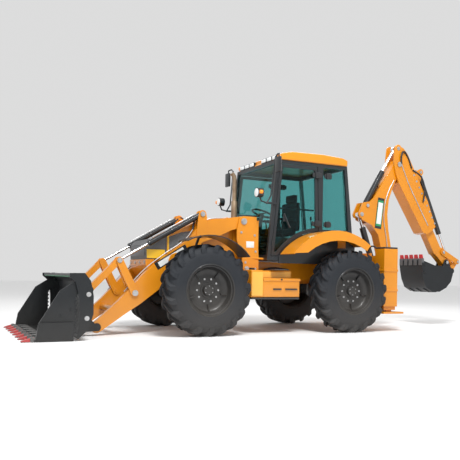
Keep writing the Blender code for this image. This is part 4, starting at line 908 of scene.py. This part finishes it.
for side, label in ((1, "left"), (-1, "right")):
    for stripName, coatName, inset, lift in (("boom_strip_", "barrelBlack", 0.0, 0.0015),
                                             ("boom_strip_edge_", "stripGreen", 0.012, 0.0022),
                                             ("boom_strip_face_", "whitePlate", 0.022, 0.0030)):
        y = side * 0.1005
        bm = bmesh.new()
        run = Vector((0.12, 0, -1)).normalized()
        over = Vector((-run.z, 0, run.x))
        start, end = at(-2.66, 0, 2.42) + run * inset * 4, at(-2.59, 0, 1.84) - run * inset * 4
        half = 0.075 - inset
        ring = [bm.verts.new((c.x, y, c.z)) for c in (start - over * half, end - over * half,
                                                      end + over * half,
                                                      start + over * half)]
        grown = bmesh.ops.extrude_face_region(bm, geom=[bm.faces.new(ring)])["geom"]
        lifted = [g for g in grown if isinstance(g, bmesh.types.BMVert)]
        bmesh.ops.translate(bm, vec=(0, side * lift, 0), verts=lifted)
        piece(bm, stripName + label, "boom", paint(coatName))
    bm = bmesh.new()
    for i in range(9):
        spot = onStick(0.34 + i * 0.132, 0.225, side * 0.1365)
        addBolt(bm, spot, (0, side, 0), 0.013, 0.012)
    piece(bm, "dipper_bolts_" + label, "dipper", paint("pinSteel"))
    hose("boom_pipe_" + label, "boom", [at(-2.84, side * 0.106, 1.20), at(-2.80, side * 0.106, 1.60),
         at(-2.72, side * 0.106, 2.10), at(-2.80, side * 0.106, 2.50), at(-2.95, side * 0.106, 2.78)],
         0.010, paint("pinSteel"))
    hose("dipper_pipe_" + label, "dipper", [onStick(0.02, 0.05, side * 0.142),
                                            onStick(0.40, 0.02, side * 0.142),
         onStick(0.90, 0.03, side * 0.142), onStick(1.35, 0.05, side * 0.142)], 0.010, paint("pinSteel"))
    hose("dipper_hose_loop_" + label, "dipper", [onStick(0.90, 0.16, side * 0.145),
                                                 onStick(0.70, 0.30, side * 0.16),
         onStick(0.45, 0.36, side * 0.15), onStick(0.24, 0.24, side * 0.145)], 0.015, paint("hoseRubber"))
    hose("pivot_hose_" + label, "dipper", [onStick(0.02, 0.05, side * 0.142),
                                           onStick(-0.12, 0.10, side * 0.165),
         onStick(-0.17, 0.20, side * 0.16), onStick(-0.06, 0.25, side * 0.145), onStick(0.20, 0.23,
                                                                                        side * 0.145)],
         0.016, paint("hoseRubber"))
    legY = side * 0.925
    bm = bmesh.new()
    addBlock(bm, at(-2.273, legY - 0.137, 0.68), at(-1.975, legY + 0.137, 0.72), 0.0025)
    addBlock(bm, at(-2.273, legY - 0.137, 1.02), at(-1.975, legY + 0.137, 1.06), 0.0025)
    piece(bm, "leg_collars_" + label, "chassis", paint("amberPaint"))
    bm = bmesh.new()
    addBlock(bm, at(-2.270, legY - 0.125, 1.4102), at(-1.980, legY + 0.125, 1.440), 0.010)
    piece(bm, "leg_cap_" + label, "chassis", paint("barrelBlack"))
    hose("leg_hose_" + label, "chassis", [at(-2.06, legY - side * 0.13, 1.36),
                                          at(-2.05, legY - side * 0.24, 1.46),
         at(-2.08, side * 0.50, 1.42), at(-2.10, side * 0.44, 1.22)], 0.014, paint("hoseRubber"))
bm = bmesh.new()
for side in (1, -1):
    for z in (0.62, 0.86, 1.10, 1.28):
        addBolt(bm, at(-2.2705, side * 0.28, z), (-1, 0, 0), 0.018, 0.005)
piece(bm, "carriage_bolts", "carriage", paint("pinSteel"))

digSpec = {"teeth": 5, "half": 0.31}
bm, adapters, ribs = bmesh.new(), bmesh.new(), bmesh.new()
for i in range(digSpec["teeth"]):
    y = (i - 2) * (digSpec["half"] * 2 - 0.08) / (digSpec["teeth"] - 1)
    addPlate(bm, [(-3.535, 1.275), (-3.507, 1.376), (-3.480, 1.3765), (-3.477, 1.275)], y - 0.036, y + 0.036)
    addPlate(adapters, [(-3.54, 1.17), (-3.54, 1.30), (-3.476, 1.30), (-3.476, 1.17)], y - 0.044, y + 0.044)
for y in (-0.20, 0.0, 0.20):
    addPlate(ribs, [(-3.64, 0.70), (-3.76, 0.648), (-3.95, 0.648), (-4.12, 0.728), (-4.23, 0.85),
                    (-4.22, 0.87),
                    (-4.11, 0.745), (-3.95, 0.662), (-3.76, 0.662), (-3.63, 0.72)], y - 0.018, y + 0.018)
for side in (1, -1):
    addPlate(ribs, [(-3.60, 1.00), (-3.50, 1.05), (-3.48, 1.22), (-3.60, 1.22)], side * 0.308, side * 0.318)
    for z in (1.06, 1.17):
        addBolt(ribs, at(-3.55, side * 0.318, z), (0, side, 0), 0.013, 0.010)
piece(bm, "dig_teeth", "dig_bucket", paint("toothRed"), bevel=0.003)
piece(adapters, "dig_adapters", "dig_bucket", paint("frameGrey"), bevel=0.003)
piece(ribs, "dig_bucket_ribs", "dig_bucket", paint("bucketBlack"), bevel=0.002)
print("backhoe ready")

# ---- floor, light and camera ---------------------------------------------------
bm = bmesh.new()
bmesh.ops.create_grid(bm, x_segments=1, y_segments=1, size=60)
floorMesh = bpy.data.meshes.new("studioFloor")
bm.to_mesh(floorMesh)
bm.free()
studioFloor = bpy.data.objects.new("studio_floor", floorMesh)
studioFloor.location.z = -0.001
bpy.context.scene.collection.objects.link(studioFloor)
floorMat = bpy.data.materials.new("paleFloor")
floorMat.use_nodes = True
floorMat.node_tree.nodes["Principled BSDF"].inputs["Base Color"].default_value = (0.90, 0.90, 0.90, 1)
floorMat.node_tree.nodes["Principled BSDF"].inputs["Roughness"].default_value = 0.9
floorMesh.materials.append(floorMat)

world = bpy.data.worlds.new("studioWorld")
bpy.context.scene.world = world
world.use_nodes = True
world.node_tree.nodes["Background"].inputs["Color"].default_value = (1.0, 1.0, 1.0, 1)
world.node_tree.nodes["Background"].inputs["Strength"].default_value = 0.72
lights = {"key": ((2.0, 6.0, 10.0), 1100, 3.0), "fill": ((9.0, 5.0, 4.0), 40, 5.0),
          "rim": ((-5.0, -8.0, 8.0), 300, 5.0)}
for name, (place, power, size) in lights.items():
    data = bpy.data.lights.new(name, "AREA")
    data.energy, data.size = power, size
    lamp = bpy.data.objects.new(name, data)
    lamp.location = place
    lamp.rotation_euler = (Vector((0, 0, 1.2)) - Vector(place)).to_track_quat("-Z", "Y").to_euler()
    bpy.context.scene.collection.objects.link(lamp)

lens = bpy.data.cameras.new("camera")
lens.lens, lens.sensor_width, lens.shift_y = 48.2, 36, 0.10
camera = bpy.data.objects.new("camera", lens)
camera.location = (5.245, 9.429, 0.898)
look = Vector((-0.4266, -0.9045, 0))
camera.rotation_euler = (look.to_track_quat("-Z", "Y").to_matrix() @ Matrix.Rotation(radians(0.97), 3,
                                                                                     "Z")).to_euler()
bpy.context.scene.collection.objects.link(camera)
bpy.context.scene.camera = camera
bpy.context.scene.view_settings.view_transform = "Standard"

print("scene ready")
